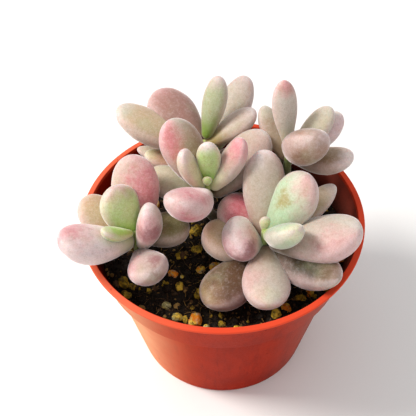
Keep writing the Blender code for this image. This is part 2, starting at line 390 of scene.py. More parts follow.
class GrowTree(Graph):
    """A Geometry Nodes tree with named inputs, which is run on a mesh and leaves a plain mesh."""

    def __init__(self, name: str) -> None:
        """Makes the tree with one geometry in and one out.

        Args:
            name: the tree's name.
        """
        super().__init__(bpy.data.node_groups.new(name, "GeometryNodeTree"))
        for way in ("INPUT", "OUTPUT"):
            self.tree.interface.new_socket("Geometry", in_out=way, socket_type="NodeSocketGeometry")
        self.sources = self.add("NodeGroupInput")
        self.end = self.add("NodeGroupOutput")
        self.names: dict[str, str] = {}

    @property
    def mesh(self) -> Socket:
        """The mesh that the tree is run on."""
        return self.sources.outputs["Geometry"]

    def settings(self, **kinds: str) -> list[Value]:
        """Adds named inputs.

        Args:
            kinds: the kind of each by its name, with an underscore for a space. It is Float, Int or
                Material.

        Returns:
            The inputs as values.
        """
        values = []
        for key, kind in kinds.items():
            name = key.replace("_", " ")
            made = self.tree.interface.new_socket(name, in_out="INPUT", socket_type=f"NodeSocket{kind}")
            self.names[name] = made.identifier
            values.append(Value(self, self.sources.outputs[name]))
        return values

    def named(self, name: str, kind: str = "FLOAT") -> Socket:
        """An attribute of the geometry."""
        return self.call("GeometryNodeInputNamedAttribute", {"Name": name}, data_type=kind)

    def number(self, name: str) -> Value:
        """A number attribute of the geometry."""
        return Value(self, self.named(name))

    def keep(self, geometry: Socket, name: str, value: Any, kind: str = "FLOAT") -> Socket:
        """Stores a value on the geometry's points under a name."""
        inputs = {"Geometry": geometry, "Name": name, "Value": value}
        return self.call("GeometryNodeStoreNamedAttribute", inputs, data_type=kind, domain="POINT")

    def chance(self, low: float, high: float, seed: int) -> Value:
        """A random number for each point.

        Args:
            low: the least that it can be.
            high: the most.
            seed: the draw's own seed.

        Returns:
            The number.
        """
        node = self.add("FunctionNodeRandomValue", data_type="FLOAT")
        by_name = {socket.identifier: socket for socket in node.inputs}
        by_name["Min_001"].default_value = low
        by_name["Max_001"].default_value = high
        by_name["Seed"].default_value = seed
        return Value(self, next(s for s in node.outputs if s.identifier == "Value_001"))

    def join(self, first: Number, second: Number, third: Number) -> Socket:
        """A vector from three numbers."""
        return self.call("ShaderNodeCombineXYZ", {0: first, 1: second, 2: third})

    def moved(self, geometry: Socket, offset: Socket) -> Socket:
        """The geometry with its points moved by a vector."""
        return self.call("GeometryNodeSetPosition", {"Geometry": geometry, "Offset": offset})

    def swelled(self, geometry: Socket, amount: Value) -> Socket:
        """The geometry with its points moved outwards by an amount."""
        return self.moved(geometry, self.scaled(self.call("GeometryNodeInputNormal", {}), amount))

    def strewn(self, density: Value, seed: Value) -> Socket:
        """Points strewn on the mesh that the tree is run on."""
        inputs = {"Mesh": self.mesh, "Density": density, "Seed": seed}
        return self.call("GeometryNodeDistributePointsOnFaces", inputs)

    def placed(self, points: Socket, shape: Socket, **inputs: Any) -> Socket:
        """Puts a shape on each point and makes the copies real.

        Args:
            points: where the copies go.
            shape: what is copied.
            inputs: the copies' Selection, Rotation or Scale.

        Returns:
            The copies as one geometry.
        """
        inputs = {"Points": points, "Instance": shape, **inputs}
        copies = self.call("GeometryNodeInstanceOnPoints", inputs)
        return self.call("GeometryNodeRealizeInstances", {"Geometry": copies})

    def tube(self, line: Socket, radius: Value, sides: int) -> Socket:
        """A closed tube along a line.

        Args:
            line: the curve.
            radius: the tube's radius along it.
            sides: number of sides.

        Returns:
            The tube.
        """
        ring = self.call("GeometryNodeCurvePrimitiveCircle", {"Resolution": sides, "Radius": 1.0})
        inputs = {"Curve": line, "Profile Curve": ring, "Scale": radius, "Fill Caps": True}
        return self.call("GeometryNodeCurveToMesh", inputs)

    def finish(self, geometry: Socket, material: Value, smooth: bool = True) -> None:
        """Ends the tree with real faces, their shading and their material.

        Args:
            geometry: what the tree has made.
            material: the material's input.
            smooth: whether the faces are shaded smoothly.
        """
        real = self.call("GeometryNodeRealizeInstances", {"Geometry": geometry})
        shaded = self.call("GeometryNodeSetShadeSmooth", {"Geometry": real, "Shade Smooth": smooth})
        dressed = self.call("GeometryNodeSetMaterial", {"Geometry": shaded, "Material": material})
        self.feed(self.end.inputs["Geometry"], dressed)

    def grow(self, name: str, mesh: bpy.types.Mesh, settings: dict[str, Any]) -> bpy.types.Object:
        """Runs the tree on a mesh.

        Args:
            name: name of the piece.
            mesh: what the piece grows from.
            settings: values of the tree's named inputs.

        Returns:
            The piece, as a plain mesh at the origin.
        """
        piece = new_object(name, mesh)
        growth = piece.modifiers.new("Growth", "NODES")
        growth.node_group = self.tree
        for key, value in settings.items():
            growth[self.names[key]] = value
        piece.data = evaluated_mesh(piece)
        piece.data.name = name
        piece.modifiers.clear()
        return piece


def new_object(name: str, data: Any) -> bpy.types.Object:
    """Adds an object to the scene.

    Args:
        name: the object's name.
        data: what it holds, such as a mesh.

    Returns:
        The object.
    """
    made = bpy.data.objects.new(name, data)
    bpy.context.scene.collection.objects.link(made)
    return made


def evaluated_mesh(item: bpy.types.Object) -> bpy.types.Mesh:
    """The mesh of an object with its modifiers applied."""
    graph = bpy.context.evaluated_depsgraph_get()
    return bpy.data.meshes.new_from_object(
        item.evaluated_get(graph), preserve_all_data_layers=True, depsgraph=graph)


def mesh_from(name: str, bm: bmesh.types.BMesh) -> bpy.types.Mesh:
    """Turns a bmesh into a mesh and frees it.

    Args:
        name: the mesh's name.
        bm: the bmesh.

    Returns:
        The mesh.
    """
    mesh = bpy.data.meshes.new(name)
    bm.to_mesh(mesh)
    bm.free()
    return mesh


def store(mesh: bpy.types.Mesh, name: str, values: Sequence[Any]) -> None:
    """Stores a value for each point of a mesh.

    Args:
        mesh: the mesh.
        name: the attribute's name.
        values: flags, numbers, directions or colours, one for each point.
    """
    kinds = {bool: ("BOOLEAN", "value"), float: ("FLOAT", "value"), Vector: ("FLOAT_VECTOR", "vector"),
             tuple: ("FLOAT_COLOR", "color")}
    kind, key = kinds[type(values[0])]
    flat = values if key == "value" else [part for value in values for part in value]
    mesh.attributes.new(name, kind, "POINT").data.foreach_set(key, flat)


def smoothed(mesh: bpy.types.Mesh, finish: bpy.types.Material) -> None:
    """Gives a mesh its one material and smooth shading.

    Args:
        mesh: the mesh.
        finish: the material.
    """
    mesh.materials.clear()
    mesh.materials.append(finish)
    for face in mesh.polygons:
        face.use_smooth = True


def turned(profile: Sequence[tuple[float, float]], steps: int) -> bmesh.types.BMesh:
    """Turns an outline about the z axis.

    The faces always come in one order, so what is strewn on them by a seed falls in the same places
    each time.

    Args:
        profile: radius and height of each point in millimetres, from the axis round to the axis.
        steps: number of steps in the full turn.

    Returns:
        The closed turned shape, in metres.
    """
    bm = bmesh.new()
    turns = [math.tau * i / steps for i in range(steps)]
    rows = []
    for radius, height in profile:
        around = turns if radius > 0 else turns[:1]
        ring = [Vector((radius * math.cos(turn), radius * math.sin(turn), height)) for turn in around]
        rows.append([bm.verts.new(point * MM) for point in ring])
    for row, after in zip(rows, rows[1:]):
        for i in range(steps):
            corners = [row[i % len(row)], row[(i + 1) % len(row)]]
            corners += [after[(i + 1) % len(after)], after[i % len(after)]]
            bm.faces.new(dict.fromkeys(corners))
    bmesh.ops.recalc_face_normals(bm, faces=bm.faces)
    return bm


def rounded(points: Sequence[tuple[float, float, float]], steps: int = 4) -> list[tuple[float, float]]:
    """Rounds the corners of an open outline.

    Args:
        points: radius, height and corner radius of each point in millimetres.
        steps: number of steps in each round corner.

    Returns:
        The outline's points.
    """
    made = [points[0][:2]]
    for before, corner, after in zip(points, points[1:], points[2:]):
        middle = Vector(corner[:2])
        back = Vector(before[:2]) - middle
        ahead = Vector(after[:2]) - middle
        half = back.angle(ahead) / 2
        longest = min(back.length, ahead.length) * LONGEST_CUT
        cut = min(corner[2] / math.tan(half), longest)
        if cut < SHORTEST_CUT:
            made.append(tuple(middle))
            continue
        start = middle + back.normalized() * cut
        end = middle + ahead.normalized() * cut
        for i in range(steps + 1):
            share = i / steps
            bend = start.lerp(middle, share).lerp(middle.lerp(end, share), share)
            made.append(tuple(bend))
    made.append(points[-1][:2])
    return made


@dataclass(frozen=True)
class LeafFinish:
    """Matte, powdery skin of a plump leaf, green at its base and blushed in the sun, with painted shade
    on a dark base and a painted rim sheen along its edge and tip.
    """

    name: str
    albedo: float = 0.86
    saturation: float = 1.07
    powder: float = 1.0
    glow: float = 0.28
    glow_depth: float = 2.6
    patches: Pattern = Pattern(160, 3)
    clouds: Pattern = Pattern(75, 2, 5)
    wash: Pattern = Pattern(128, 3, 7, 0.6)
    veins: Pattern = Pattern(352, 5, 9, 0.65)
    mottle: Pattern = Pattern(620, 4, 3, 0.65)
    wear: Pattern = Pattern(279, 5, 11, 0.7)
    grain: Pattern = Pattern(1900, 3, 0, 0.7)
    patch_drift: float = 0.30
    cloud_drift: float = 0.35
    body: tuple[float, float] = (0.02, 0.42)
    tip: tuple[float, float] = (0.70, 1.08)
    # Where the base tint comes back over the base: the leaf's own green or olive base, and on dark base
    # tints painted shade where the leaves crowd.
    base: tuple[float, float] = (0.05, 0.50)
    base_tint_and_shade_share: float = 0.6
    green_cloud: Coat = Coat(Tint.SAGE, 0.48, 0.68, 0.32)
    pink_cloud: Coat = Coat(Tint.PINK, 0.50, 0.70, 0.15)
    pink_edge: Coat = Coat(Tint.PINK, 0.55, 1.0, 0.30)
    edge_drift: float = 0.5
    blush: Coat = Coat(Tint.BLUSH, 0.36, 0.90, 0.90)
    flush_size: float = 2.0
    wash_share: float = 0.6
    vein: Coat = Coat(Tint.ROSE, 0.50, 0.72, 0.50)
    # Pale edge and tip: partly the leaf's powdery bloom, partly a painted rim sheen.
    frost_and_rim_sheen_edge: Coat = Coat(Tint.FROST, 0.70, 1.0, 0.30)
    frost_and_rim_sheen_tip: Coat = Coat(Tint.FROST, 0.90, 1.0, 0.24)
    pale_mottle: Coat = Coat(Tint.FROST, 0.46, 0.66, 0.15)
    brown_mottle: Coat = Coat(Tint.BRONZE, 0.50, 0.74, 0.22)
    worn: Coat = Coat(Tint.TAN, 0.58, 0.68, 0.22)
    brown_grain: Coat = Coat(Tint.BRONZE, 0.47, 0.62, 0.17)
    pale_grain: Coat = Coat(Tint.FROST, 0.52, 0.64, 0.12)
    spot_size: float = 0.55
    spot_core: float = 0.25
    spot_share: float = 0.75
    spot_drift: tuple[float, float] = (0.5, 0.8)
    bruised: tuple[float, float] = (0.44, 0.46)
    stretch: float = 2.4
    relief_depth: float = 0.18

    def _distance(self, look: Shader, place: str) -> Value:
        """How far a point of a leaf is from a named place on it.

        Args:
            look: the material.
            place: spot or flush.

        Returns:
            The distance in half widths.
        """
        away = (look.number("along") - look.number(place + "_along")) * self.stretch
        aside = look.number("across") - look.number(place + "_across")
        return (away * away + aside * aside).root()

    def _grown(self, look: Shader, drift: Value, clouds: Value, patches: Value) -> Socket:
        """The leaf's own tints from base to tip, with cloudy green and pink over them.

        Args:
            look: the material.
            drift: place along the leaf, made uneven.
            clouds: broad noise.
            patches: finer noise.

        Returns:
            The colour.
        """
        edge = look.number("across").size()
        skin = look.mix(drift.rise(*self.body), look.colour("base_tint"), look.colour("body_tint"))
        skin = look.mix(drift.rise(*self.tip), skin, look.colour("tip_tint"))
        return look.coated(skin, (self.green_cloud, clouds), (self.pink_cloud, 1.0 - clouds),
                           (self.pink_edge, edge + (patches - 0.5) * self.edge_drift))

    def _blushed(self, look: Shader, skin: Socket, seed: Value) -> Socket:
        """Sun blush and its veins about the leaf's flushed place, and a frosty pale edge and tip that is
        partly the powder and partly a painted rim sheen.

        Args:
            look: the material.
            skin: the colour under it.
            seed: the leaf's seed.

        Returns:
            The colour.
        """
        blush = look.number("blush")
        near = 1.0 - self._distance(look, "flush").rise(0.0, self.flush_size)
        wash = look.pattern(self.wash, seed) * self.wash_share + near * self.wash_share
        veins = look.pattern(self.veins, seed) + (wash - self.wash_share) * self.wash_share
        skin = look.mix(self.blush.amount(wash) * blush, skin, self.blush.tint)
        skin = look.mix(self.vein.amount(veins) * blush, skin, self.vein.tint)
        edge = look.number("across").size()
        # Pale edge and tip, partly powder and partly a painted rim sheen.
        frost_and_rim_sheen = self.frost_and_rim_sheen_edge.amount(edge) + self.frost_and_rim_sheen_tip.amount(look.number("along"))
        return look.mix(frost_and_rim_sheen, skin, Tint.FROST)

    def _spotted(self, look: Shader, skin: Socket, mottle: Value, patches: Value) -> Socket:
        """The leaf's one spot, a bruise on a blushed leaf and a scar on a green one.

        Args:
            look: the material.
            skin: the colour under it.
            mottle: fine noise.
            patches: broader noise.

        Returns:
            The colour.
        """
        fine, broad = self.spot_drift
        reach = self._distance(look, "spot") + (mottle - 0.5) * fine + (patches - 0.5) * broad
        spot = 1.0 - reach.rise(self.spot_size * self.spot_core, self.spot_size)
        bruised = look.number("blush").rise(*self.bruised)
        return look.mix(spot * self.spot_share, skin, look.mix(bruised, Tint.SCAR, Tint.BRUISE))

    def material(self) -> bpy.types.Material:
        """Builds the finish from each leaf's tints, which on some leaves hold painted shade, and its
        blush, flushed place and spot.

        Returns:
            The material.
        """
        look = Shader(self.name)
        seed = look.number("leaf_seed")
        patches = look.pattern(self.patches, seed)
        clouds = look.pattern(self.clouds, seed)
        mottle = look.pattern(self.mottle, seed)
        grain = look.pattern(self.grain, seed)
        drift = look.number("along") + (patches - 0.5) * self.patch_drift
        drift = drift + (clouds - 0.5) * self.cloud_drift
        skin = self._grown(look, drift, clouds, patches)
        skin = self._blushed(look, skin, seed)
        skin = self._spotted(look, skin, mottle, patches)
        skin = look.coated(skin, (self.pale_mottle, mottle), (self.brown_mottle, 1.0 - mottle),
                           (self.worn, look.pattern(self.wear, seed)),
                           (self.brown_grain, grain), (self.pale_grain, 1.0 - grain))
        # Lays the base tint again over the base: partly the leaf's own base colour, partly painted shade
        # at the crowded crown.
        base = (1.0 - drift.rise(*self.base)) * self.base_tint_and_shade_share
        skin = look.mix(base, skin, look.colour("base_tint"))
        skin = look.call("ShaderNodeHueSaturation", {"Saturation": self.saturation, "Color": skin})
        skin = look.mix(1.0, skin, (self.albedo, self.albedo, self.albedo, 1.0), "MULTIPLY")
        look.set(
            Base_Color=skin,
            Roughness=0.40 + 0.22 * mottle,
            Specular_IOR_Level=0.42,
            Subsurface_Weight=self.glow,
            Subsurface_Scale=self.glow_depth * MM,
            Subsurface_Radius=(1.0, 0.45, 0.30),
            Sheen_Weight=self.powder,
            Sheen_Roughness=0.34,
            Sheen_Tint=(1.0, 0.94, 0.95, 1.0),
        )
        look.bump(mottle * 0.8 + grain * 0.35 + patches * 0.9, self.relief_depth)
        return look.material


@dataclass(frozen=True)
class PotFinish:
    """Moulded orange-red plastic, dusty, scuffed and soil-stained, with a paler left side that is partly
    dust and partly a painted highlight, a lip top painted lighter as lit, a collar painted darker as in
    the lip's shadow and a painted reflection on the right.
    """

    name: str
    rim_height: float
    collar_height: float
    soil_level: float
    stain_height: float = 12.0
    stain_share: float = 0.9
    least_stain: float = 0.35
    # The left side grows paler from here to there, partly dust and partly a painted highlight from the
    # light on the left.
    fade: tuple[float, float] = (0.0, 42.0)
    left_dust_and_highlight_share: tuple[float, float] = (0.74, 0.6)
    # Share of the left paleness kept on the collar; the rest is painted shade, as in the lip's shadow.
    pale_kept_in_lip_shadow: float = 0.78
    # A painted greyish reflection on the right side of the wall.
    painted_right_reflection: tuple[float, float] = (16.0, 50.0)
    painted_right_reflection_share: tuple[float, float] = (0.10, 0.25)
    # Depths of the lip's top band, painted in the lighter plastic colour as lit from above.
    lip: tuple[float, float] = (1.9, 1.0)
    lip_dust_and_highlight: float = 0.25
    most_dust_and_highlight: float = 0.95
    cloud: Pattern = Pattern(48, 4, 1)
    streaks: Pattern = Pattern(300, 5, 2, 0.65, 0.07)
    runs: Pattern = Pattern(750, 3, 9, 0.6, 0.03)
    specks: Pattern = Pattern(1100, 4, 3, 0.7)
    scuffs: Pattern = Pattern(900, 2, 5, 0.8, 0.05)
    dark_cloud: Coat = Coat(Tint.POT_DEEP, 0.35, 0.70, 0.6)
    dark_streak: Coat = Coat(Tint.POT_DEEP, 0.46, 0.70, 0.52)
    dark_run: Coat = Coat(Tint.POT_DEEP, 0.58, 0.68, 0.45)
    speck: Coat = Coat(Tint.UMBER, 0.66, 0.74, 0.30)
    streaky_dust: Coat = Coat(Tint.POT_DUST_AND_HIGHLIGHT, 0.48, 0.78, 0.06)
    dusty_cloud: tuple[float, float] = (0.42, 0.66)
    pit_scale: float = 150.0
    pit_size: tuple[float, float] = (0.035, 0.075)
    pit_share: float = 0.7
    relief_depth: float = 0.12

    def _dust_and_highlight(self, look: Shader, cloud: Value, streaks: Value) -> Value:
        """How dusty the wall is and how pale its left side is, partly dust and partly a painted
        highlight from the light on the left: none of that inside, and less on the collar, which is
        painted as in the lip's shadow.

        Args:
            look: the material.
            cloud: broad noise.
            streaks: upright streaks.

        Returns:
            The share of dust.
        """
        side, _, height = look.split(look.place)
        step = (self.rim_height - self.collar_height) * MM
        collar = height.rise(step - MM, step + 0.5 * MM)
        start, end = self.fade
        least, cloudy = self.left_dust_and_highlight_share
        # The left side's paleness, partly dust and partly a painted highlight from the light on the
        # left.
        left_dust_and_highlight = (side * -1.0).rise(start * MM, end * MM) * (1.0 - look.number("inside"))
        # The collar keeps less of it: painted shade, as under the lip's shadow.
        left_dust_and_highlight = left_dust_and_highlight * (1.0 - (1.0 - self.pale_kept_in_lip_shadow) * collar) * (least + cloudy * cloud)
        dust = self.streaky_dust.amount(1.0 - streaks) * cloud.rise(*self.dusty_cloud)
        return (dust + left_dust_and_highlight).at_most(self.most_dust_and_highlight)

    def material(self) -> bpy.types.Material:
        """Builds the plastic with its streaks, dust, pits and soil stain, its painted highlight on the
        left side and the lip's top, and its painted reflection on the right side.

        Returns:
            The material.
        """
        look = Shader(self.name)
        side, _, height = look.split(look.place)
        cloud = look.pattern(self.cloud)
        streaks = look.pattern(self.streaks)
        specks = look.pattern(self.specks)
        # This share holds the real dust and the painted highlight on the left side, which turn the wall
        # towards the lit plastic and the dust colour.
        dust = self._dust_and_highlight(look, cloud, streaks)
        skin = look.coated(Tint.POT_RED, (self.dark_cloud, cloud), (self.dark_streak, streaks),
                           (self.dark_run, look.pattern(self.runs)))
        skin = look.mix(dust, skin, look.mix(dust, Tint.POT_LIT_PLASTIC, Tint.POT_DUST_AND_HIGHLIGHT))
        # A painted reflection on the right side.
        start, end = self.painted_right_reflection
        least, cloudy = self.painted_right_reflection_share
        painted_right_reflection = side.rise(start * MM, end * MM) * (least + cloudy * cloud)
        skin = look.mix(painted_right_reflection, skin, Tint.DUSK)
        skin = look.coated(skin, (self.speck, specks))
        pits = 1.0 - look.cells(self.pit_scale).rise(*self.pit_size)
        skin = look.mix(pits * self.pit_share, skin, Tint.POT_PIT)
        # The lip's top is painted lighter, as lit from above.
        under, over = ((self.rim_height - depth) * MM for depth in self.lip)
        lip = look.mix(dust * self.lip_dust_and_highlight, Tint.POT_LIT_PLASTIC, Tint.POT_DUST_AND_HIGHLIGHT)
        skin = look.mix(height.rise(under, over), skin, lip)
        low = self.soil_level * MM
        stain = (1.0 - height.rise(low, low + self.stain_height * MM)) * (self.least_stain + specks)
        stain = stain * look.number("inside") * self.stain_share
        skin = look.mix(stain.at_most(self.stain_share), skin, Tint.PEAT)
        look.set(
            Base_Color=skin,
            Roughness=(0.38 + dust * 0.6 + specks * 0.18).at_most(0.9),
            Specular_IOR_Level=0.30,
            IOR=1.2,
        )
        scuffs = look.pattern(self.scuffs) * 0.5
        look.bump(scuffs + specks * 0.5 + cloud * 0.8 + streaks * 0.6 - pits * 2.0, self.relief_depth)
        return look.material


@dataclass(frozen=True)
class PeatFinish:
    """Dark damp peat. Each crumb or fibre has its own shade, from black to bark brown."""

    name: str
    light_share: float = 0.30
    grain: Pattern = Pattern(1500, 5, 1, 0.7)
    damp: Pattern = Pattern(90, 2, 4)
    light_crumb: Coat = Coat(Tint.PEAT_LIGHT, 0.72, 0.86, 0.75)
    bark: Coat = Coat(Tint.BARK, 0.88, 0.92, 0.95)
    relief_depth: float = 0.35

    def material(self) -> bpy.types.Material:
        """Builds the peat from the pieces' shade attribute and fine noise.

        Returns:
            The material.
        """
        look = Shader(self.name)
        shade = look.number("shade")
        grain = look.pattern(self.grain)
        light_grain = Coat(Tint.PEAT_LIGHT, 0.48, 0.66, self.light_share)
        skin = look.coated(Tint.PEAT, (light_grain, grain), (self.light_crumb, shade),
                           (self.bark, shade))
        roughness = 0.50 + 0.40 * look.pattern(self.damp)
        look.set(Base_Color=skin, Roughness=roughness, Specular_IOR_Level=0.40)
        look.bump(grain, self.relief_depth)
        return look.material


@dataclass(frozen=True)
class GritFinish:
    """Crushed porous grit with pits, a pale crust, stains and peat stuck to it."""

    name: str
    body: Tint
    crust: Tint
    stain: Tint
    patches: Pattern = Pattern(380, 3)
    pits: Pattern = Pattern(1500, 4, 2, 0.7)
    stains: Pattern = Pattern(420, 4, 5, 0.6)
    peat: Pattern = Pattern(300, 5, 8, 0.7)
    shade_step: float = 9.0
    dark_pit: Coat = Coat(Tint.UMBER, 0.54, 0.70, 0.30)
    stuck_peat: Coat = Coat(Tint.PEAT, 0.59, 0.67, 0.80)
    relief_depth: float = 0.40

    def material(self) -> bpy.types.Material:
        """Builds the grit from its three tints.

        Returns:
            The material.
        """
        look = Shader(self.name)
        seed = look.number("shade") * self.shade_step
        pits = look.pattern(self.pits, seed)
        crusted = Coat(self.crust, 0.44, 0.60, 1.0)
        stained = Coat(self.stain, 0.48, 0.60, 0.8)
        skin = look.coated(self.body, (crusted, look.pattern(self.patches, seed)),
                           (stained, look.pattern(self.stains, seed)), (self.dark_pit, pits),
                           (self.stuck_peat, look.pattern(self.peat, seed)))
        look.set(Base_Color=skin, Roughness=0.55 + 0.3 * pits, Specular_IOR_Level=0.40)
        look.bump(pits, self.relief_depth)
        return look.material


@dataclass(frozen=True)
class FloorFinish:
    """Plain pale paper under the pot."""

    name: str
    tooth: Pattern = Pattern(700, 3, 1)
    tooth_share: float = 0.04

    def material(self) -> bpy.types.Material:
        """Builds a pale matte surface with the faintest tooth.

        Returns:
            The material.
        """
        look = Shader(self.name)
        skin = look.mix(look.pattern(self.tooth) * self.tooth_share, Tint.FLOOR, Tint.GREY)
        look.set(Base_Color=skin, Roughness=0.9, Specular_IOR_Level=0.1)
        return look.material


@dataclass(frozen=True)
class Leaf:
    """One plump leaf, placed from its plant's crown. Heading 0 points to +x and 90 to the back.

    Its spot and the middle of its flush are each a share of its length and half widths across it.
    """

    drop: float
    heading: float
    rise: float
    length: float
    width: float
    base: Tint
    body: Tint
    tip: Tint
    blush: float = 0.0
    curl: float = 20.0
    twist: float = 0.0
    plump: float = 0.72
    spot: tuple[float, float] = (0.5, OFF_LEAF)
    flush: tuple[float, float] = (0.75, 0.0)

    def start(self, crown: Vector, offset: float) -> Vector:
        """Where the leaf leaves its stem, in millimetres."""
        turn = math.radians(self.heading)
        return crown + Vector((offset * math.cos(turn), offset * math.sin(turn), -self.drop))

    def aim(self) -> Matrix:
        """Turns a leaf that runs along +Z, its upper side towards -X, into its place.

        Returns:
            The turn.
        """
        heading = Matrix.Rotation(math.radians(self.heading), 3, "Z")
        rise = Matrix.Rotation(math.radians(90 - self.rise), 3, "Y")
        return heading @ rise @ Matrix.Rotation(math.radians(self.twist), 3, "Z")

    def traits(self, seed: float) -> dict[str, Any]:
        """What the leaf's point on the skeleton carries: its sizes, places, axes and tints.

        Args:
            seed: the leaf's own seed.

        Returns:
            The values by their attributes' names.
        """
        face_back, side, run = self.aim().col
        return {
            "is_leaf": True,
            "leaf_length": self.length * MM,
            "leaf_width": self.width * MM,
            "leaf_plump": self.plump,
            "leaf_curl": math.radians(self.curl),
            "leaf_seed": seed,
            "blush": self.blush,
            "spot_along": self.spot[0],
            "spot_across": self.spot[1],
            "flush_along": self.flush[0],
            "flush_across": self.flush[1],
            "along": 0.0,
            "stem_radius": 0.0,
            "run_axis": run,
            "side_axis": side,
            "face_axis": -face_back,
            "base_tint": self.base.rgba,
            "body_tint": self.body.rgba,
            "tip_tint": self.tip.rgba,
        }


@dataclass(frozen=True)
class LeafRule:
    """The outline that every leaf follows, as shares of its length and width, and the stems' knobs."""

    sides: int = 36
    rings: int = 30
    offset: float = 1.5
    neck: float = 0.36
    peak: float = 0.62
    edge_neck: float = 0.51
    edge_peak: float = 0.56
    heel: float = 0.07
    fill: float = 1.25
    upper_share: float = 0.8
    lower_share: float = 1.2
    keel: float = 1.06
    ripple: float = 0.045
    ripples: Pattern = Pattern(95, 2)
    stem_sides: int = 20
    stem_steps: int = 36
    knobs: Pattern = Pattern(280, 2)
    thinnest: float = 0.86
    knob_size: float = 0.30
    scars: Pattern = Pattern(420, 3, 3)
    scar_depth: float = 0.9

    def outline(self, tree: GrowTree, t: Value, peak: float, neck: float) -> Value:
        """Half width along a leaf as a share of its widest: a narrow base, then full, then a round tip.

        Args:
            tree: the tree that the formula is built in.
            t: place along the leaf, from 0 to 1.
            peak: place of the widest point.
            neck: width at the base as a share of the widest.

        Returns:
            The share at that place.
        """
        past = (t - peak) / (1 - peak)
        tip = (1.0 - past * past).at_least(0.0).root()
        swell = (t * (math.pi / 2 / peak)).sine().at_least(0.0) ** self.fill
        lower = neck + swell * (1 - neck)
        beyond = t.over(peak)
        share = tip * beyond + lower * (1.0 - beyond)
        short = (1.0 - t / self.heel).at_least(0.0)
        return share * (1.0 - short * short).at_least(0.0).root()

    def tree(self) -> GrowTree:
        """Builds the tree that grows a plant's leaves and stem from its skeleton.

        Returns:
            The tree.
        """
        tree = GrowTree("leafy_stem")
        sides, rings, ripple, seed, material = tree.settings(
            Leaf_Sides="Int", Leaf_Rings="Int", Ripple="Float", Seed="Float", Material="Material")
        leaves = self._leaves(tree, sides, rings, ripple, seed)
        stem = self._stem(tree, seed)
        both = tree.add("GeometryNodeJoinGeometry")
        for part in (leaves, stem):
            tree.feed(both.inputs[0], part)
        tree.finish(both.outputs[0], material)
        return tree

    def _leaves(self, tree: GrowTree, sides: Value, rings: Value, ripple: Value,
                seed: Value) -> Socket:
        """Puts a ball on each leaf point and draws it out by the leaf rule.

        Args:
            tree: the tree that it is built in.
            sides: sides of the ball.
            rings: rings of the ball.
            ripple: height of the skin's ripple as a share of the leaf's width.
            seed: the plant's seed.

        Returns:
            The leaves.
        """
        ball = tree.call("GeometryNodeMeshUVSphere", {"Segments": sides, "Rings": rings, "Radius": 1.0})
        place = tree.call("GeometryNodeInputPosition", {})
        ball = tree.keep(ball, "unit", place, "FLOAT_VECTOR")
        real = tree.placed(tree.mesh, ball, Selection=tree.named("is_leaf", "BOOLEAN"))

        unit = tree.named("unit", "FLOAT_VECTOR")
        x, y, z = tree.split(unit)
        base = tree.vector("SUBTRACT", place, unit)
        around = (x * x + y * y).root().at_least(ON_POLE)
        across = y / around
        upper = x / around * -1.0
        length = tree.number("leaf_length")
        width = tree.number("leaf_width")
        curl = tree.number("leaf_curl")
        t = (z + 1.0) * 0.5
        bend = (t - 0.5) * curl
        run = length * (bend.sine() + (curl * 0.5).sine()) / curl
        lift = length * ((curl * 0.5).cosine() - bend.cosine()) / curl
        side = across * width * 0.5 * self.outline(tree, t, self.peak, self.neck)
        depth = tree.number("leaf_plump") * width * 0.5
        depth = depth * self.outline(tree, t, self.edge_peak, self.edge_neck)
        above = upper.at_least(0.0) ** self.keel * self.upper_share
        below = upper.at_most(0.0) * self.lower_share
        face = (above + below) * depth
        steps = {"run_axis": run - face * bend.sine(), "side_axis": side,
                 "face_axis": lift + face * bend.cosine()}
        where = base
        for axis, size in steps.items():
            where = tree.vector("ADD", where, tree.scaled(tree.named(axis, "FLOAT_VECTOR"), size))
        real = tree.keep(real, "along", t)
        real = tree.keep(real, "across", across)
        shaped = tree.call("GeometryNodeSetPosition", {"Geometry": real, "Position": where})
        wave = tree.pattern(self.ripples, tree.number("leaf_seed") + seed) - 0.5
        return tree.swelled(shaped, wave * width * ripple)

    def _stem(self, tree: GrowTree, seed: Value) -> Socket:
        """Turns the skeleton's edges into a knobbly, scarred stem.

        Args:
            tree: the tree that it is built in.
            seed: the plant's seed.

        Returns:
            The stem.
        """
        line = tree.call("GeometryNodeMeshToCurve", {"Mesh": tree.mesh})
        line = tree.call("GeometryNodeCurveSplineType", {"Curve": line}, spline_type="CATMULL_ROM")
        line = tree.call("GeometryNodeResampleCurve", {"Curve": line, "Count": self.stem_steps})
        knobs = tree.pattern(self.knobs, seed)
        radius = tree.number("stem_radius") * (self.thinnest + knobs * self.knob_size)
        scars = tree.pattern(self.scars, seed) - 0.5
        return tree.swelled(tree.tube(line, radius, self.stem_sides), scars * (self.scar_depth * MM))


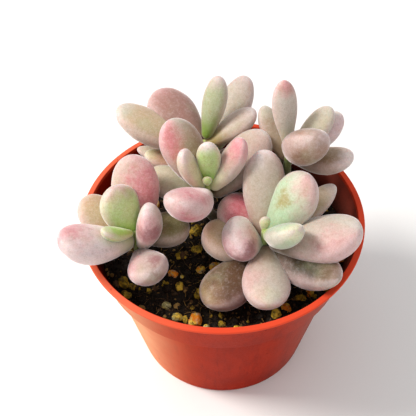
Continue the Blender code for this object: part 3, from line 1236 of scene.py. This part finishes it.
@dataclass
class Rosette:
    """A leafy stem, with the leaves that grow on it and its slot in the record."""

    name: str
    slot: str
    crown: tuple[float, float, float]
    root: tuple[float, float]
    stem_radius: float
    leaves: Sequence[Leaf]
    seed: float = 1.0
    seed_step: float = 1.7
    leafy_length: float = 16.0
    socket_depth: float = 20.0
    taper: tuple[float, ...] = (0.85, 1.0, 1.0, 0.45)
    bark: tuple[Tint, ...] = (Tint.UMBER, Tint.BRONZE, Tint.STEM_GREEN, Tint.LIME)

    def stem_points(self, soil_height: Callable[[float, float], float]) -> list[Vector]:
        """The stem's path from inside the soil to the highest leaf.

        Args:
            soil_height: the soil's level at a place.

        Returns:
            The path's points in millimetres.
        """
        foot = Vector((*self.root, soil_height(*self.root)))
        crown = Vector(self.crown)
        turn = crown - Vector((0, 0, self.leafy_length))
        highest = max(-leaf.drop for leaf in self.leaves)
        start = foot - (turn - foot).normalized() * self.socket_depth
        return [start, foot, turn, crown + Vector((0, 0, highest))]

    def stem_traits(self, share: float, tint: Tint) -> dict[str, Any]:
        """What a point of the stem carries: its radius and tints, and no leaf, flush or spot.

        Args:
            share: the stem's radius there as a share of its full radius.
            tint: the bark's tint there.

        Returns:
            The values by their attributes' names. Those left out are nought.
        """
        return {
            "leaf_seed": self.seed,
            "spot_along": 0.5,
            "spot_across": OFF_LEAF,
            "flush_along": 0.5,
            "flush_across": OFF_LEAF,
            "along": 0.5,
            "stem_radius": self.stem_radius * MM * share,
            "base_tint": Tint.UMBER.rgba,
            "body_tint": tint.rgba,
            "tip_tint": Tint.STEM_GREEN.rgba,
        }

    def skeleton(self, rule: LeafRule, soil_height: Callable[[float, float], float]) -> bpy.types.Mesh:
        """A point for each leaf and a line for the stem. Each point carries its traits as attributes.

        Args:
            rule: the outline that every leaf follows.
            soil_height: the soil's level at a place.

        Returns:
            The skeleton's mesh.
        """
        crown = Vector(self.crown)
        path = self.stem_points(soil_height)
        starts = [leaf.start(crown, rule.offset) for leaf in self.leaves]
        first = len(starts)
        edges = [(first + i, first + i + 1) for i in range(len(path) - 1)]
        mesh = bpy.data.meshes.new(self.name + "_skeleton")
        mesh.from_pydata([tuple(point * MM) for point in starts + path], edges, [])
        points = [leaf.traits(self.seed + self.seed_step * i) for i, leaf in enumerate(self.leaves)]
        points += [self.stem_traits(share, tint) for share, tint in zip(self.taper, self.bark)]
        for name, value in points[0].items():
            blank = type(value)()
            store(mesh, name, [point.get(name, blank) for point in points])
        return mesh

    def build(self, rule: LeafRule, tree: GrowTree, finish: bpy.types.Material,
              soil_height: Callable[[float, float], float]) -> bpy.types.Object:
        """Grows the plant in the place of its CAD node.

        Args:
            rule: the outline that every leaf follows.
            tree: the tree that grows leaves and stem.
            finish: the leaves' material.
            soil_height: the soil's level at a place.

        Returns:
            The finished piece.
        """
        settings = {"Leaf Sides": rule.sides, "Leaf Rings": rule.rings, "Ripple": rule.ripple,
                    "Seed": self.seed, "Material": finish}
        return tree.grow(self.name + "_grown", self.skeleton(rule, soil_height), settings)


@dataclass
class Pot:
    """Tapered flower pot with a deep collar and a thin lip."""

    height: float
    rim_radius: float
    lip_width: float = 2.5
    lip_thickness: float = 1.2
    collar_height: float = 20.5
    collar_top_radius: float = 58.5
    collar_foot_radius: float = 53.8
    body_top_radius: float = 51.3
    base_radius: float = 40.5
    wall: float = 1.1
    corner: float = 0.35
    floor_corner: float = 1.0
    foot_corner: float = 1.4
    lip_corner: float = 0.2
    drain_holes: int = 8
    drain_radius: float = 3.5
    drain_circle_radius: float = 28.0
    drill_length: float = 6.0
    drill_sides: int = 32
    steps: int = 200
    wobble: float = 0.18
    wobble_turn: float = 0.7
    waves: int = 5
    wave_share: float = 0.4
    inward: float = -0.3
    sharp_angle: float = 38.0

    @classmethod
    def from_frame(cls) -> "Pot":
        """Reads the pot's height and width from the CAD node."""
        low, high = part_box("pot")
        return cls(height=high.z / MM, rim_radius=(high.x - low.x) / 2 / MM)

    @property
    def step_height(self) -> float:
        """Height of the collar's foot."""
        return self.height - self.collar_height

    def inner_radius(self, height: float) -> float:
        """The inside radius in the collar.

        Args:
            height: height in millimetres.

        Returns:
            The radius in millimetres.
        """
        low = self.step_height + self.wall
        share = (height - low) / (self.height - self.lip_thickness - low)
        foot = self.collar_foot_radius - self.wall
        return foot + share * (self.collar_top_radius - self.wall - foot)

    def outline(self) -> list[tuple[float, float]]:
        """The wall's outline with rounded corners.

        Returns:
            Radius and height of each point in millimetres, from the axis inside to the axis below.
        """
        step, wall, top = self.step_height, self.wall, self.height
        return rounded((
            (0, wall, 0),
            (self.base_radius - wall, wall, self.floor_corner),
            (self.body_top_radius - wall, step + wall, self.corner),
            (self.collar_foot_radius - wall, step + wall, self.corner),
            (self.collar_top_radius - wall, top - self.lip_thickness, self.corner),
            (self.rim_radius - self.lip_width, top, self.corner),
            (self.rim_radius, top, self.corner),
            (self.rim_radius, top - self.lip_thickness, self.corner),
            (self.collar_top_radius, top - self.lip_thickness, self.lip_corner),
            (self.collar_foot_radius, step, self.corner),
            (self.body_top_radius, step, self.corner),
            (self.base_radius, 0, self.foot_corner),
            (0, 0, 0),
        ))

    def _wall(self) -> bmesh.types.BMesh:
        """Turns the wall. Its top is a little out of round, as thin plastic is.

        Returns:
            The wall.
        """
        bm = turned(self.outline(), self.steps)
        for vertex in bm.verts:
            turn = math.atan2(vertex.co.y, vertex.co.x)
            share = max(0.0, vertex.co.z / (self.height * MM)) ** 2
            swing = math.sin(2 * turn + self.wobble_turn)
            swing += self.wave_share * math.sin(self.waves * turn)
            radius = max(vertex.co.xy.length, ON_AXIS)
            vertex.co.xy *= 1 + self.wobble * MM * share * swing / radius
        return bm

    def _drills(self) -> bmesh.types.BMesh:
        """Makes the cutters for the drain holes.

        Returns:
            The cutters.
        """
        bm = bmesh.new()
        radius = self.drain_radius * MM
        for i in range(self.drain_holes):
            turn = math.tau * i / self.drain_holes
            place = Vector((math.cos(turn), math.sin(turn), 0)) * self.drain_circle_radius * MM
            bmesh.ops.create_cone(bm, cap_ends=True, segments=self.drill_sides, radius1=radius,
                                  radius2=radius, depth=self.drill_length * MM,
                                  matrix=Matrix.Translation(place))
        return bm

    def build(self, finish: bpy.types.Material) -> bpy.types.Object:
        """Turns the wall, drills the drain holes and dresses it.

        Args:
            finish: the plastic.

        Returns:
            The pot.
        """
        piece = new_object("flower_pot", mesh_from("flower_pot", self._wall()))
        cutter = new_object("drain_drills", mesh_from("drain_drills", self._drills()))
        cut = piece.modifiers.new("Drain", "BOOLEAN")
        cut.operation = "DIFFERENCE"
        cut.object = cutter
        cut.solver = "EXACT"
        piece.data = evaluated_mesh(piece)
        piece.modifiers.clear()
        bpy.data.objects.remove(cutter, do_unlink=True)
        facing = [vertex.normal.xy.dot(vertex.co.xy.normalized()) for vertex in piece.data.vertices]
        store(piece.data, "inside", [float(share < self.inward) for share in facing])
        smoothed(piece.data, finish)
        piece.data.set_sharp_from_angle(angle=math.radians(self.sharp_angle))
        return piece


@dataclass(frozen=True)
class Relief:
    """Rough ground.

    It has the height and length of its bumps in millimetres, a shift that sets it apart, how fast its
    finer octaves fade, and how much finer each of them is.
    """

    height: float
    length: float
    shift: float
    fade: float
    finer: float
    octaves: int = 3

    def at(self, x: float, y: float) -> float:
        """Height over or under the level at a place, in millimetres."""
        place = Vector((x / self.length, y / self.length, self.shift))
        return self.height * noise.fractal(place, self.fade, self.finer, self.octaves)


@dataclass
class RootBall:
    """Peat that fills the pot, with a rough top."""

    pot: Pot
    level: float = 63.6
    slope: tuple[float, float] = (0.02, 0.03)
    broad_swell: tuple[float, float, float] = (0.6, 9.0, 11.0)
    small_swell: tuple[float, float, float] = (0.25, 3.7, 4.3)
    lumps: Relief = Relief(1.3, 7.0, 2.0, 1.0, 2.0)
    grains: Relief = Relief(0.8, 1.6, 8.0, 0.8, 2.1)
    gap: float = 0.3
    rings: int = 84
    steps: int = 200
    shade: float = 0.3
    shade_spread: float = 0.5
    shade_length: float = 2.2
    top_depth: float = 4.0
    steepest: float = 0.3

    def height(self, x: float, y: float) -> float:
        """The soil's level: a little higher at the back and right, with low swells.

        Args:
            x: place to the right in millimetres.
            y: place to the back in millimetres.

        Returns:
            The level in millimetres.
        """
        broad, broad_x, broad_y = self.broad_swell
        small, small_x, small_y = self.small_swell
        swell = broad * math.sin(x / broad_x) * math.cos(y / broad_y)
        swell += small * math.sin(x / small_x + y / small_y)
        return self.level + self.slope[0] * x + self.slope[1] * y + swell

    def build(self, finish: bpy.types.Material) -> bpy.types.Object:
        """Fills the pot up to the level and roughens the top.

        Args:
            finish: the peat.

        Returns:
            The root ball.
        """
        pot, gap = self.pot, self.gap
        edge = pot.inner_radius(self.level) - gap
        step = pot.step_height + pot.wall + gap
        profile = [
            (0, pot.wall + gap),
            (pot.base_radius - pot.wall - gap, pot.wall + gap),
            (pot.body_top_radius - pot.wall - gap, step),
            (pot.collar_foot_radius - pot.wall - gap, step),
        ]
        profile += [(edge * i / self.rings, self.level) for i in range(self.rings, -1, -1)]
        bm = turned(profile, self.steps)
        for vertex in bm.verts:
            x, y, z = vertex.co / MM
            if z < self.level - gap:
                continue
            height = self.height(x, y)
            radius = math.hypot(x, y)
            if radius > edge - gap:
                share = (pot.inner_radius(height) - gap) / radius
                x, y = x * share, y * share
            vertex.co = Vector((x, y, height + self.lumps.at(x, y) + self.grains.at(x, y))) * MM
        mesh = mesh_from("root_ball", bm)
        smoothed(mesh, finish)
        shades = (noise.noise(vertex.co / MM / self.shade_length) for vertex in mesh.vertices)
        store(mesh, "shade", [self.shade + self.shade_spread * shade for shade in shades])
        return new_object("root_ball", mesh)

    def surface(self, ball: bpy.types.Object, margin: float) -> bpy.types.Mesh:
        """The ball's upper faces alone, which crumbs and fibres are strewn on.

        Args:
            ball: the root ball.
            margin: width left bare along the pot's wall, in millimetres.

        Returns:
            The faces as a mesh.
        """
        bm = bmesh.new()
        bm.from_mesh(ball.data)
        reach = (self.pot.inner_radius(self.level) - margin) * MM
        floor = (self.level - self.top_depth) * MM
        others = [face for face in bm.faces
                  if face.calc_center_median().z < floor or face.normal.z < self.steepest
                  or face.calc_center_median().xy.length > reach]
        bmesh.ops.delete(bm, geom=others, context="FACES")
        return mesh_from("soil_top", bm)


@dataclass(frozen=True)
class Crumbs:
    """Dented bits strewn on the soil. The density is how many lie on a square metre."""

    name: str
    density: float
    smallest: float
    spread: float
    sides: int
    rings: int
    seed: int
    width: tuple[float, float] = (0.6, 1.0)
    thickness: tuple[float, float] = (0.45, 0.9)
    tumble: float = 3.1
    spin: float = 6.2
    smallness: float = 3.0
    dents: Pattern = Pattern(900, 1, 2)
    dent_level: float = 0.45
    dent_depth: float = 1.6

    def tree(self) -> GrowTree:
        """Builds the tree that strews them, most of them small, each turned and flattened by chance.

        Returns:
            The tree.
        """
        tree = GrowTree(self.name)
        density, smallest, spread, sides, rings, seed, material = tree.settings(
            Density="Float", Smallest="Float", Size_Spread="Float", Sides="Int", Rings="Int",
            Seed="Int", Material="Material")
        points = tree.keep(tree.strewn(density, seed), "shade", tree.chance(0.0, 1.0, seed=3))
        ball = tree.call("GeometryNodeMeshUVSphere", {"Segments": sides, "Rings": rings, "Radius": 1.0})
        length = smallest + spread * tree.chance(0.0, 1.0, seed=5) ** self.smallness
        width = length * tree.chance(*self.width, seed=7)
        stretch = tree.join(length, width, length * tree.chance(*self.thickness, seed=8))
        turn = tree.join(tree.chance(0, self.tumble, seed=11), tree.chance(0, self.tumble, seed=12),
                         tree.chance(0, self.spin, seed=13))
        real = tree.placed(points, ball, Rotation=turn, Scale=stretch)
        dent = tree.pattern(self.dents) - self.dent_level
        tree.finish(tree.swelled(real, dent * (self.dent_depth * MM)), material, smooth=False)
        return tree

    def strew(self, top: bpy.types.Mesh, finish: bpy.types.Material) -> bpy.types.Object:
        """Strews them as one piece.

        Args:
            top: the soil's top.
            finish: their material.

        Returns:
            The piece.
        """
        settings = {"Density": self.density, "Smallest": self.smallest * MM,
                    "Size Spread": self.spread * MM, "Sides": self.sides, "Rings": self.rings,
                    "Seed": self.seed, "Material": finish}
        return self.tree().grow(self.name, top, settings)


@dataclass(frozen=True)
class Fibres:
    """Short curved fibres laid on the soil. The density is how many lie on a square metre."""

    name: str = "peat_fibres"
    density: float = 150000.0
    length: float = 6.0
    shortest: float = 0.3
    thickness: float = 0.14
    darkest: float = 0.55
    lift: float = 0.35
    tilt: float = 0.25
    spin: float = 6.3
    steps: int = 7
    sides: int = 4
    swirl: float = 5.0
    swirl_scale: float = 160.0
    swirl_level: tuple[float, float, float] = (0.5, 0.5, 0.45)
    seed: int = 6

    def tree(self) -> GrowTree:
        """Builds the tree that lays fibres, each of its own length and bent by a swirl.

        Returns:
            The tree.
        """
        tree = GrowTree(self.name)
        density, length, thickness, seed, material = tree.settings(
            Density="Float", Length="Float", Thickness="Float", Seed="Int", Material="Material")
        shade = tree.chance(self.darkest, 1.0, seed=3)
        points = tree.keep(tree.strewn(density, seed), "shade", shade)
        points = tree.moved(points, tree.join(0.0, 0.0, self.lift * MM))
        strand = tree.call("GeometryNodeCurvePrimitiveLine", {"Start": (-0.5, 0, 0), "End": (0.5, 0, 0)})
        strand = tree.call("GeometryNodeResampleCurve", {"Curve": strand, "Count": self.steps})
        tilt = tree.chance(-self.tilt, self.tilt, seed=4)
        turn = tree.join(0.0, tilt, tree.chance(0, self.spin, seed=5))
        size = length * tree.chance(self.shortest, 1.0, seed=6)
        real = tree.placed(points, strand, Rotation=turn, Scale=tree.join(size, size, size))
        swirl = tree.add("ShaderNodeTexNoise", noise_dimensions="3D")
        tree.feed(swirl.inputs["Scale"], self.swirl_scale)
        bend = tree.vector("SUBTRACT", swirl.outputs["Color"], self.swirl_level)
        real = tree.moved(real, tree.scaled(bend, self.swirl * MM))
        tree.finish(tree.tube(real, thickness, self.sides), material)
        return tree

    def lay(self, top: bpy.types.Mesh, finish: bpy.types.Material) -> bpy.types.Object:
        """Lays them as one piece.

        Args:
            top: the soil's top.
            finish: their material.

        Returns:
            The piece.
        """
        settings = {"Density": self.density, "Length": self.length * MM,
                    "Thickness": self.thickness * MM, "Seed": self.seed, "Material": finish}
        return self.tree().grow(self.name, top, settings)


class GritKind(Enum):
    """Kinds of grit, each with its record slot, its body tint, its crust tint and its stain tint."""

    AMBER = ("grit_amber", Tint.AMBER, Tint.YELLOW, Tint.CREAM)
    OCHRE = ("grit_ochre", Tint.OCHRE, Tint.YELLOW, Tint.MOSS)
    PALE = ("grit_pale", Tint.PALE_GRIT, Tint.YELLOW, Tint.OLIVE)

    @property
    def slot(self) -> str:
        """The kind's slot in the record."""
        return self.value[0]

    def finish(self) -> bpy.types.Material:
        """The kind's material."""
        slot, body, crust, stain = self.value
        return GritFinish(slot + "_stone", body, crust, stain).material()


@dataclass(frozen=True)
class Stone:
    """A piece of grit on the soil. Its node is the CAD node that it stands for, if it has one."""

    x: float
    y: float
    size: float
    kind: GritKind
    node: str = ""


@dataclass
class Grit:
    """Stones in the soil's top, each at its own place."""

    ball: RootBall
    stones: Sequence[Stone]
    stretch: tuple[float, float, float] = (1.1, 0.9, 0.75)
    lift: float = 0.15
    spin: float = 6.3
    chips: Pattern = Pattern(330, 2)
    chip_depth: float = 1.25
    pores: Pattern = Pattern(1100, 2, 4)
    pore_depth: float = 0.22
    roughness: float = 0.75
    subdivisions: int = 2
    shade_step: float = 0.37
    seed: float = 3.0

    def tree(self) -> GrowTree:
        """Builds the tree that puts a chipped, pitted stone on each point.

        Returns:
            The tree.
        """
        tree = GrowTree("grit_stones")
        subdivisions, roughness, seed, material = tree.settings(
            Stone_Subdivisions="Int", Roughness="Float", Seed="Float", Material="Material")
        ball = tree.call("GeometryNodeMeshIcoSphere", {"Radius": 0.5, "Subdivisions": 2})
        size = tree.number("size")
        stretch = tree.join(*(size * share for share in self.stretch))
        turn = tree.join(0.0, 0.0, tree.chance(0, self.spin, seed=2))
        real = tree.placed(tree.mesh, ball, Rotation=turn, Scale=stretch)
        chips = (tree.pattern(self.chips, seed) - 0.5) * size * roughness * self.chip_depth
        chipped = tree.swelled(real, chips)
        split = tree.call("GeometryNodeSubdivideMesh", {"Mesh": chipped, "Level": subdivisions})
        pores = (tree.pattern(self.pores, seed) - 0.5) * size * roughness * self.pore_depth
        tree.finish(tree.swelled(split, pores), material)
        return tree

    def of_kind(self, kind: GritKind) -> list[Stone]:
        """The stones of a kind, in their order."""
        return [stone for stone in self.stones if stone.kind is kind]

    def nodes(self, kind: GritKind) -> list[str]:
        """The CAD nodes that the stones of a kind stand for."""
        return [stone.node for stone in self.of_kind(kind) if stone.node]

    def build(self, kind: GritKind, tree: GrowTree) -> bpy.types.Object:
        """Makes all the stones of a kind as one piece.

        Args:
            kind: the kind of grit.
            tree: the tree that makes stones.

        Returns:
            The piece.
        """
        stones = self.of_kind(kind)
        places = [Vector((s.x, s.y, self.ball.height(s.x, s.y) + self.lift * s.size)) for s in stones]
        mesh = bpy.data.meshes.new(kind.slot + "_points")
        mesh.from_pydata([tuple(place * MM) for place in places], [], [])
        store(mesh, "size", [stone.size * MM for stone in stones])
        store(mesh, "shade", [(self.shade_step * i) % 1.0 for i in range(len(stones))])
        settings = {"Stone Subdivisions": self.subdivisions, "Roughness": self.roughness,
                    "Seed": self.seed, "Material": kind.finish()}
        return tree.grow(kind.slot + "_stones", mesh, settings)


@dataclass(frozen=True)
class Lamp:
    """A square soft lamp: its place and side in metres, its power in watts and its colour."""

    name: str
    place: tuple[float, float, float]
    side: float
    power: float
    colour: tuple[float, float, float]

    def light(self, target: Vector) -> bpy.types.Object:
        """Hangs the lamp at its place and turns it to the target.

        Args:
            target: what the lamp faces, in metres.

        Returns:
            The lamp.
        """
        light = bpy.data.lights.new(self.name, "AREA")
        light.size = self.side
        light.energy = self.power
        light.color = self.colour
        item = new_object(self.name, light)
        item.location = self.place
        item.rotation_euler = (target - item.location).to_track_quat("-Z", "Y").to_euler()
        return item


@dataclass
class Studio:
    """Pale floor, soft light from the upper left and the camera at the photo's angle."""

    look_at_height: float = 80.0
    elevation: float = 47.8
    distance: float = 300.0
    yaw: float = 1.16
    pitch: float = 0.40
    focal_px: float = 704.0
    photo_px: float = 416.0
    sensor: float = 36.0
    nearest: float = 0.01
    floor_side: float = 6.0
    floor_steps: int = 8
    key: Lamp = Lamp("key_lamp", (-0.88, 0.05, 0.95), 0.42, 12.6, (1.0, 0.975, 0.94))
    fill: Lamp = Lamp("fill_lamp", (0.1, -1.4, 0.7), 1.2, 2.0, (0.95, 0.97, 1.0))
    sky: tuple[float, float, float, float] = (0.97, 0.985, 1.0, 1.0)
    sky_strength: float = 0.58
    look: str = "Medium High Contrast"

    def camera(self) -> bpy.types.Object:
        """Sets the camera at the photo's angle and distance.

        Returns:
            The camera.
        """
        lens = bpy.data.cameras.new("photo_camera")
        lens.sensor_width = self.sensor
        lens.lens = self.focal_px / self.photo_px * self.sensor
        lens.clip_start = self.nearest
        item = new_object("photo_camera", lens)
        lean = math.radians(self.elevation)
        back = Vector((0, -math.cos(lean), math.sin(lean)))
        right = Vector((1, 0, 0))
        aim = Matrix((right, back.cross(right), back)).transposed()
        aim = aim @ Matrix.Rotation(math.radians(self.yaw), 3, "Y")
        aim = aim @ Matrix.Rotation(math.radians(self.pitch), 3, "X")
        place = (Vector((0, 0, self.look_at_height)) + back * self.distance) * MM
        item.matrix_world = Matrix.Translation(place) @ aim.to_4x4()
        bpy.context.scene.camera = item
        return item

    def build(self) -> None:
        """Lays the floor and sets the lamps, the sky and the colour handling."""
        bm = bmesh.new()
        steps = self.floor_steps
        bmesh.ops.create_grid(bm, x_segments=steps, y_segments=steps, size=self.floor_side / 2)
        floor = new_object("floor", mesh_from("floor", bm))
        floor.data.materials.append(FloorFinish("pale_paper").material())
        target = Vector((0, 0, self.look_at_height * MM))
        for lamp in (self.key, self.fill):
            lamp.light(target)
        scene = bpy.context.scene
        scene.world = bpy.data.worlds.new("studio_sky")
        scene.world.use_nodes = True
        sky = scene.world.node_tree.nodes["Background"]
        sky.inputs["Color"].default_value = self.sky
        sky.inputs["Strength"].default_value = self.sky_strength
        scene.view_settings.view_transform = "Standard"
        scene.view_settings.look = self.look


CRUMBS = Crumbs("peat_crumbs", density=330000, smallest=0.36, spread=0.7, sides=5, rings=4, seed=4)
LUMPS = Crumbs("peat_lumps", density=60000, smallest=0.8, spread=1.5, sides=8, rings=5, seed=9)
FLAKES = Crumbs("grit_flakes", density=14000, smallest=0.45, spread=1.3, sides=8, rings=5, seed=21)
CRUMB_MARGIN = 1.2
FIBRE_MARGIN = 6.0

T = Tint
AMBER, OCHRE, PALE = GritKind

# In the leaf lists the darkest base and body tints are partly the leaves' own olive colour and partly
# painted shade where leaves crowd and shadow each other.
FRONT_LEFT = Rosette(
    "plant_front_left", "leaf_lilac", (-35, -17, 84), (-34, -12), 2.0,
    leaves=(
        Leaf(1, 134, 67, 24, 17, T.SPRING, T.FERN, T.PINK, 0.1),
        Leaf(3, 93, 50, 35, 20, T.MAUVE, T.SHELL, T.PINK, 0.75, curl=25, twist=-5, flush=(0.55, -0.6)),
        Leaf(6, 148, 30, 29, 17.5, T.STRAW, T.CREAM, T.PEACH),
        Leaf(0, 210, 30, 33, 19, T.SAGE, T.FROST, T.LILAC, 0.6, curl=25, flush=(0.95, -0.5)),
        Leaf(5, -5, 80, 24, 14.5, T.MILK, T.PEARL, T.FROST, 0.7, curl=25, spot=(0.64, -0.75),
             flush=(0.6, -1.3)),
        Leaf(8, -70, 32, 27, 16.5, T.DUSK, T.LILAC, T.CLAY, 0.46, twist=10, spot=(0.8, 0.5),
             flush=(0.4, -1.0)),
        Leaf(-4, 222, 40, 17, 7.5, T.LIME, T.SPRING, T.BUTTER, curl=15),
        # A low leaf painted dark olive, partly as in the shadow of the upright leaf above it.
        Leaf(0, 28, -6, 22, 17, T.MOSS, T.OLIVE, T.MOSS, curl=15),
    ), seed=1.0)

FRONT_RIGHT = Rosette(
    "plant_front_right", "leaf_lilac", (17, -18, 86), (17, -12), 3.0,
    leaves=(
        Leaf(2, 36, 53, 31.5, 19.5, T.JADE, T.MINT, T.PEARL, 0.42, flush=(1.05, -0.7), spot=(0.55, 0.1)),
        Leaf(5, 90, 50, 37.5, 17.5, T.DUSK, T.GREY, T.FROST),
        Leaf(1, -15, 25, 39, 22, T.MOSS, T.ASH, T.PEARL, 0.35, curl=35, flush=(0.8, -1.1)),
        Leaf(-3, -55, 47, 24, 13.5, T.SPRING, T.MINT, T.BUTTER, curl=15, twist=-10),
        Leaf(6, -163, 50, 18.5, 19.5, T.MINT, T.FROST, T.FROST, 0.5, curl=30, twist=-14,
             spot=(0.62, 0.75), flush=(0.6, 0.4)),
        Leaf(9, 168, 16, 25, 19, T.UMBER, T.CREAM, T.PEACH),
        # Its dark base is partly painted shade from the leaves above it.
        Leaf(5, -90, 3, 30, 19, T.COCOA, T.ASH, T.MILK, 0.2, flush=(0.7, -0.9)),
        # Its dark base and body are painted shade from the leaves above it.
        Leaf(10, -136, -7, 32, 20, T.PAINTED_SHADE, T.UMBER, T.STRAW),
        # Painted dark all over, as in the shadow of the big leaf above it.
        Leaf(7, -39, 15, 35, 18, T.PAINTED_SHADE, T.PAINTED_SHADE, T.BRONZE),
        Leaf(10, 45, 17, 33, 16, T.OLIVE, T.TAN, T.TAN),
        Leaf(6, 39, 15, 39, 11.5, T.SAGE, T.CREAM, T.FROST, curl=10),
        Leaf(-0.5, 85, 70, 7, 5, T.BUTTER, T.BUTTER, T.ASH, curl=10),
        Leaf(7.5, 125, 22, 26, 19, T.DUSK, T.ASH, T.FROST, 1.0),
    ), seed=31.0)

CENTRE = Rosette(
    "plant_centre", "leaf_cream", (-6, 1, 97), (0, 9), 2.2,
    leaves=(
        Leaf(4, 132, 47, 32, 18.5, T.UMBER, T.TAN, T.ASH, 0.7, curl=15, twist=-5, flush=(0.95, 0.7)),
        Leaf(3, 168, 67, 21, 10.5, T.BUTTER, T.BUTTER, T.FROST, 0.2, curl=25),
        Leaf(2, 82, 85, 21, 10, T.SPRING, T.FERN, T.FROST),
        Leaf(4, 21, 60, 27, 12, T.BUTTER, T.GREY, T.BLUSH, 0.7, flush=(1.0, -0.4)),
        Leaf(7, 46, 22, 36, 20, T.MOSS, T.GREY, T.PEARL, 0.15, curl=25),
        Leaf(5, -115, 38, 31, 18.5, T.SHELL, T.LILAC, T.PINK, 0.9, twist=5, flush=(0.55, 0.2)),
        Leaf(10, 150, 7, 28, 16, T.OLIVE, T.MILK, T.MILK),
        Leaf(-1, -90, 80, 5, 4, T.FERN, T.FERN, T.LIME, curl=10),
    ), seed=61.0)

BACK_LEFT = Rosette(
    "plant_back_left", "leaf_lilac", (-8, 28, 94), (-7, 30), 2.0,
    leaves=(
        Leaf(3, 164, 21, 41, 18, T.TAN, T.CREAM, T.PEARL, curl=15, spot=(0.3, 0.5)),
        Leaf(2, 131, 21, 34, 22, T.MAUVE, T.MAUVE, T.PINK, 0.1, curl=15),
        Leaf(-2, 64, 60, 28, 11, T.MEADOW, T.SAGE, T.LILAC, curl=15),
        Leaf(8, 58, 32, 41, 16, T.FERN, T.GREY, T.LILAC),
        Leaf(1, 25, 27, 26, 12.5, T.SCAR, T.SHELL, T.FROST, curl=5),
        Leaf(10, 168, 3, 30, 8.5, T.TAN, T.MILK, T.SHELL),
        Leaf(12.5, 178, 13, 26, 12, T.RUST, T.PEACH, T.BUTTER),
        Leaf(8, 100, -8, 26, 15, T.OLIVE, T.TAN, T.DUSK, curl=15),
        Leaf(11, 30, -15, 26, 14, T.OLIVE, T.TAN, T.DUSK, curl=15),
    ), seed=91.0)

BACK_RIGHT = Rosette(
    "plant_back_right", "leaf_cream", (28, 18, 101), (29, 22), 2.0,
    leaves=(
        Leaf(0, 103, 66, 28, 10.7, T.MILK, T.PEARL, T.BLUSH, 0.6, flush=(1.3, -0.3)),
        Leaf(6, 37, 39, 27, 12, T.MILK, T.MILK, T.PEARL, 0.3, flush=(1.4, 0.6)),
        Leaf(6, 35, 23, 29, 14, T.MAUVE, T.FROST, T.FROST, 0.15, flush=(0.8, -0.9)),
        # Its dark base is painted shade.
        Leaf(-2, -68, 48, 27.5, 18.5, T.PAINTED_SHADE, T.BRONZE, T.DUSK, curl=15, twist=-10, plump=0.8),
        Leaf(4, -31, 25, 29, 14, T.MOSS, T.TAN, T.FROST, curl=25),
        Leaf(8, 115, 30, 26, 10, T.CREAM, T.SAND, T.PEARL),
        Leaf(10, 85, -5, 24, 13, T.OLIVE, T.TAN, T.DUSK, curl=15),
        Leaf(12, 140, -10, 22, 12, T.OLIVE, T.TAN, T.DUSK, curl=15),
    ), seed=121.0)

ROSETTES = (FRONT_LEFT, FRONT_RIGHT, CENTRE, BACK_LEFT, BACK_RIGHT)

STONES = (
    Stone(-11, -43, 6.4, AMBER, "grit_1"),
    Stone(-18, -41.5, 4.6, PALE, "grit_2"),
    Stone(-19, -10, 3.6, OCHRE, "grit_3"),
    Stone(-11, -7, 4.6, OCHRE, "grit_4"),
    Stone(-21, -20, 4.0, AMBER, "grit_5"),
    Stone(-18, -27, 4.0, OCHRE, "grit_6"),
    Stone(-23, -36, 3.8, PALE, "grit_7"),
    Stone(-9, -18, 4.0, AMBER, "grit_8"),
    Stone(-42, -24, 4.8, OCHRE, "grit_9"),
    Stone(-30, 20, 3.6, AMBER, "grit_10"),
    Stone(32, -33, 4.6, OCHRE, "grit_11"),
    Stone(44, 20, 4.2, AMBER, "grit_12"),
    Stone(-12, 4, 6.0, OCHRE, "grit_13"),
    Stone(-3, -16, 5.0, AMBER),
    Stone(-17, -21, 2.0, PALE),
    Stone(-10, -31, 3.3, OCHRE),
    Stone(-40, -30, 4.6, OCHRE),
    Stone(-40, -8, 2.6, PALE),
    Stone(0, -45, 3.3, OCHRE),
    Stone(36, -30, 4.0, AMBER),
    Stone(51, -13, 2.6, AMBER),
    Stone(-14.6, -42.4, 3.6, OCHRE),
    Stone(-38, -26, 3.2, OCHRE),
    Stone(-6, -46, 2.8, PALE),
    Stone(6, -46.5, 3.0, OCHRE),
    Stone(22, -40, 4.6, OCHRE),
    Stone(26, -37, 4.2, AMBER),
    Stone(-9, -30, 4.2, OCHRE),
)


def dress(piece: bpy.types.Object, slot: str, *nodes: str) -> bpy.types.Object:
    """Puts a piece on the object's one body and hides the CAD nodes that it replaces.

    Args:
        piece: the finished piece.
        slot: the record's material slot; not used.
        nodes: the CAD nodes that it replaces.

    Returns:
        The piece.
    """
    if nodes:
        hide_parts(*nodes)
    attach(piece, ROOT)
    log.info("%s: %d faces", piece.name, len(piece.data.polygons))
    return piece


def main() -> None:
    """Builds the studio and then each piece in order."""
    logging.basicConfig(level=logging.INFO, format="%(name)s %(message)s")
    studio = Studio()
    studio.camera()
    studio.build()

    pot = Pot.from_frame()
    soil = RootBall(pot)
    plastic = PotFinish("moulded_plastic", pot.height, pot.collar_height, soil.level).material()
    dress(pot.build(plastic), "pot_plastic", "pot")

    peat = PeatFinish("damp_peat").material()
    ball = dress(soil.build(peat), "soil_mix", "soil")
    top = soil.surface(ball, CRUMB_MARGIN)
    dress(CRUMBS.strew(top, peat), "soil_mix")
    dress(LUMPS.strew(top, peat), "soil_mix")
    straw = PeatFinish("peat_fibre", light_share=0.8).material()
    dress(Fibres().lay(soil.surface(ball, FIBRE_MARGIN), straw), "soil_mix")

    grit = Grit(soil, STONES)
    stone_tree = grit.tree()
    for kind in GritKind:
        dress(grit.build(kind, stone_tree), kind.slot, *grit.nodes(kind))
    dress(FLAKES.strew(top, OCHRE.finish()), OCHRE.slot)

    rule = LeafRule()
    leafy_stem = rule.tree()
    skins = {slot: LeafFinish(slot + "_skin").material() for slot in ("leaf_lilac", "leaf_cream")}
    for plant in ROSETTES:
        piece = plant.build(rule, leafy_stem, skins[plant.slot], soil.height)
        dress(piece, plant.slot, plant.name)


if __name__ == "__main__":
    main()
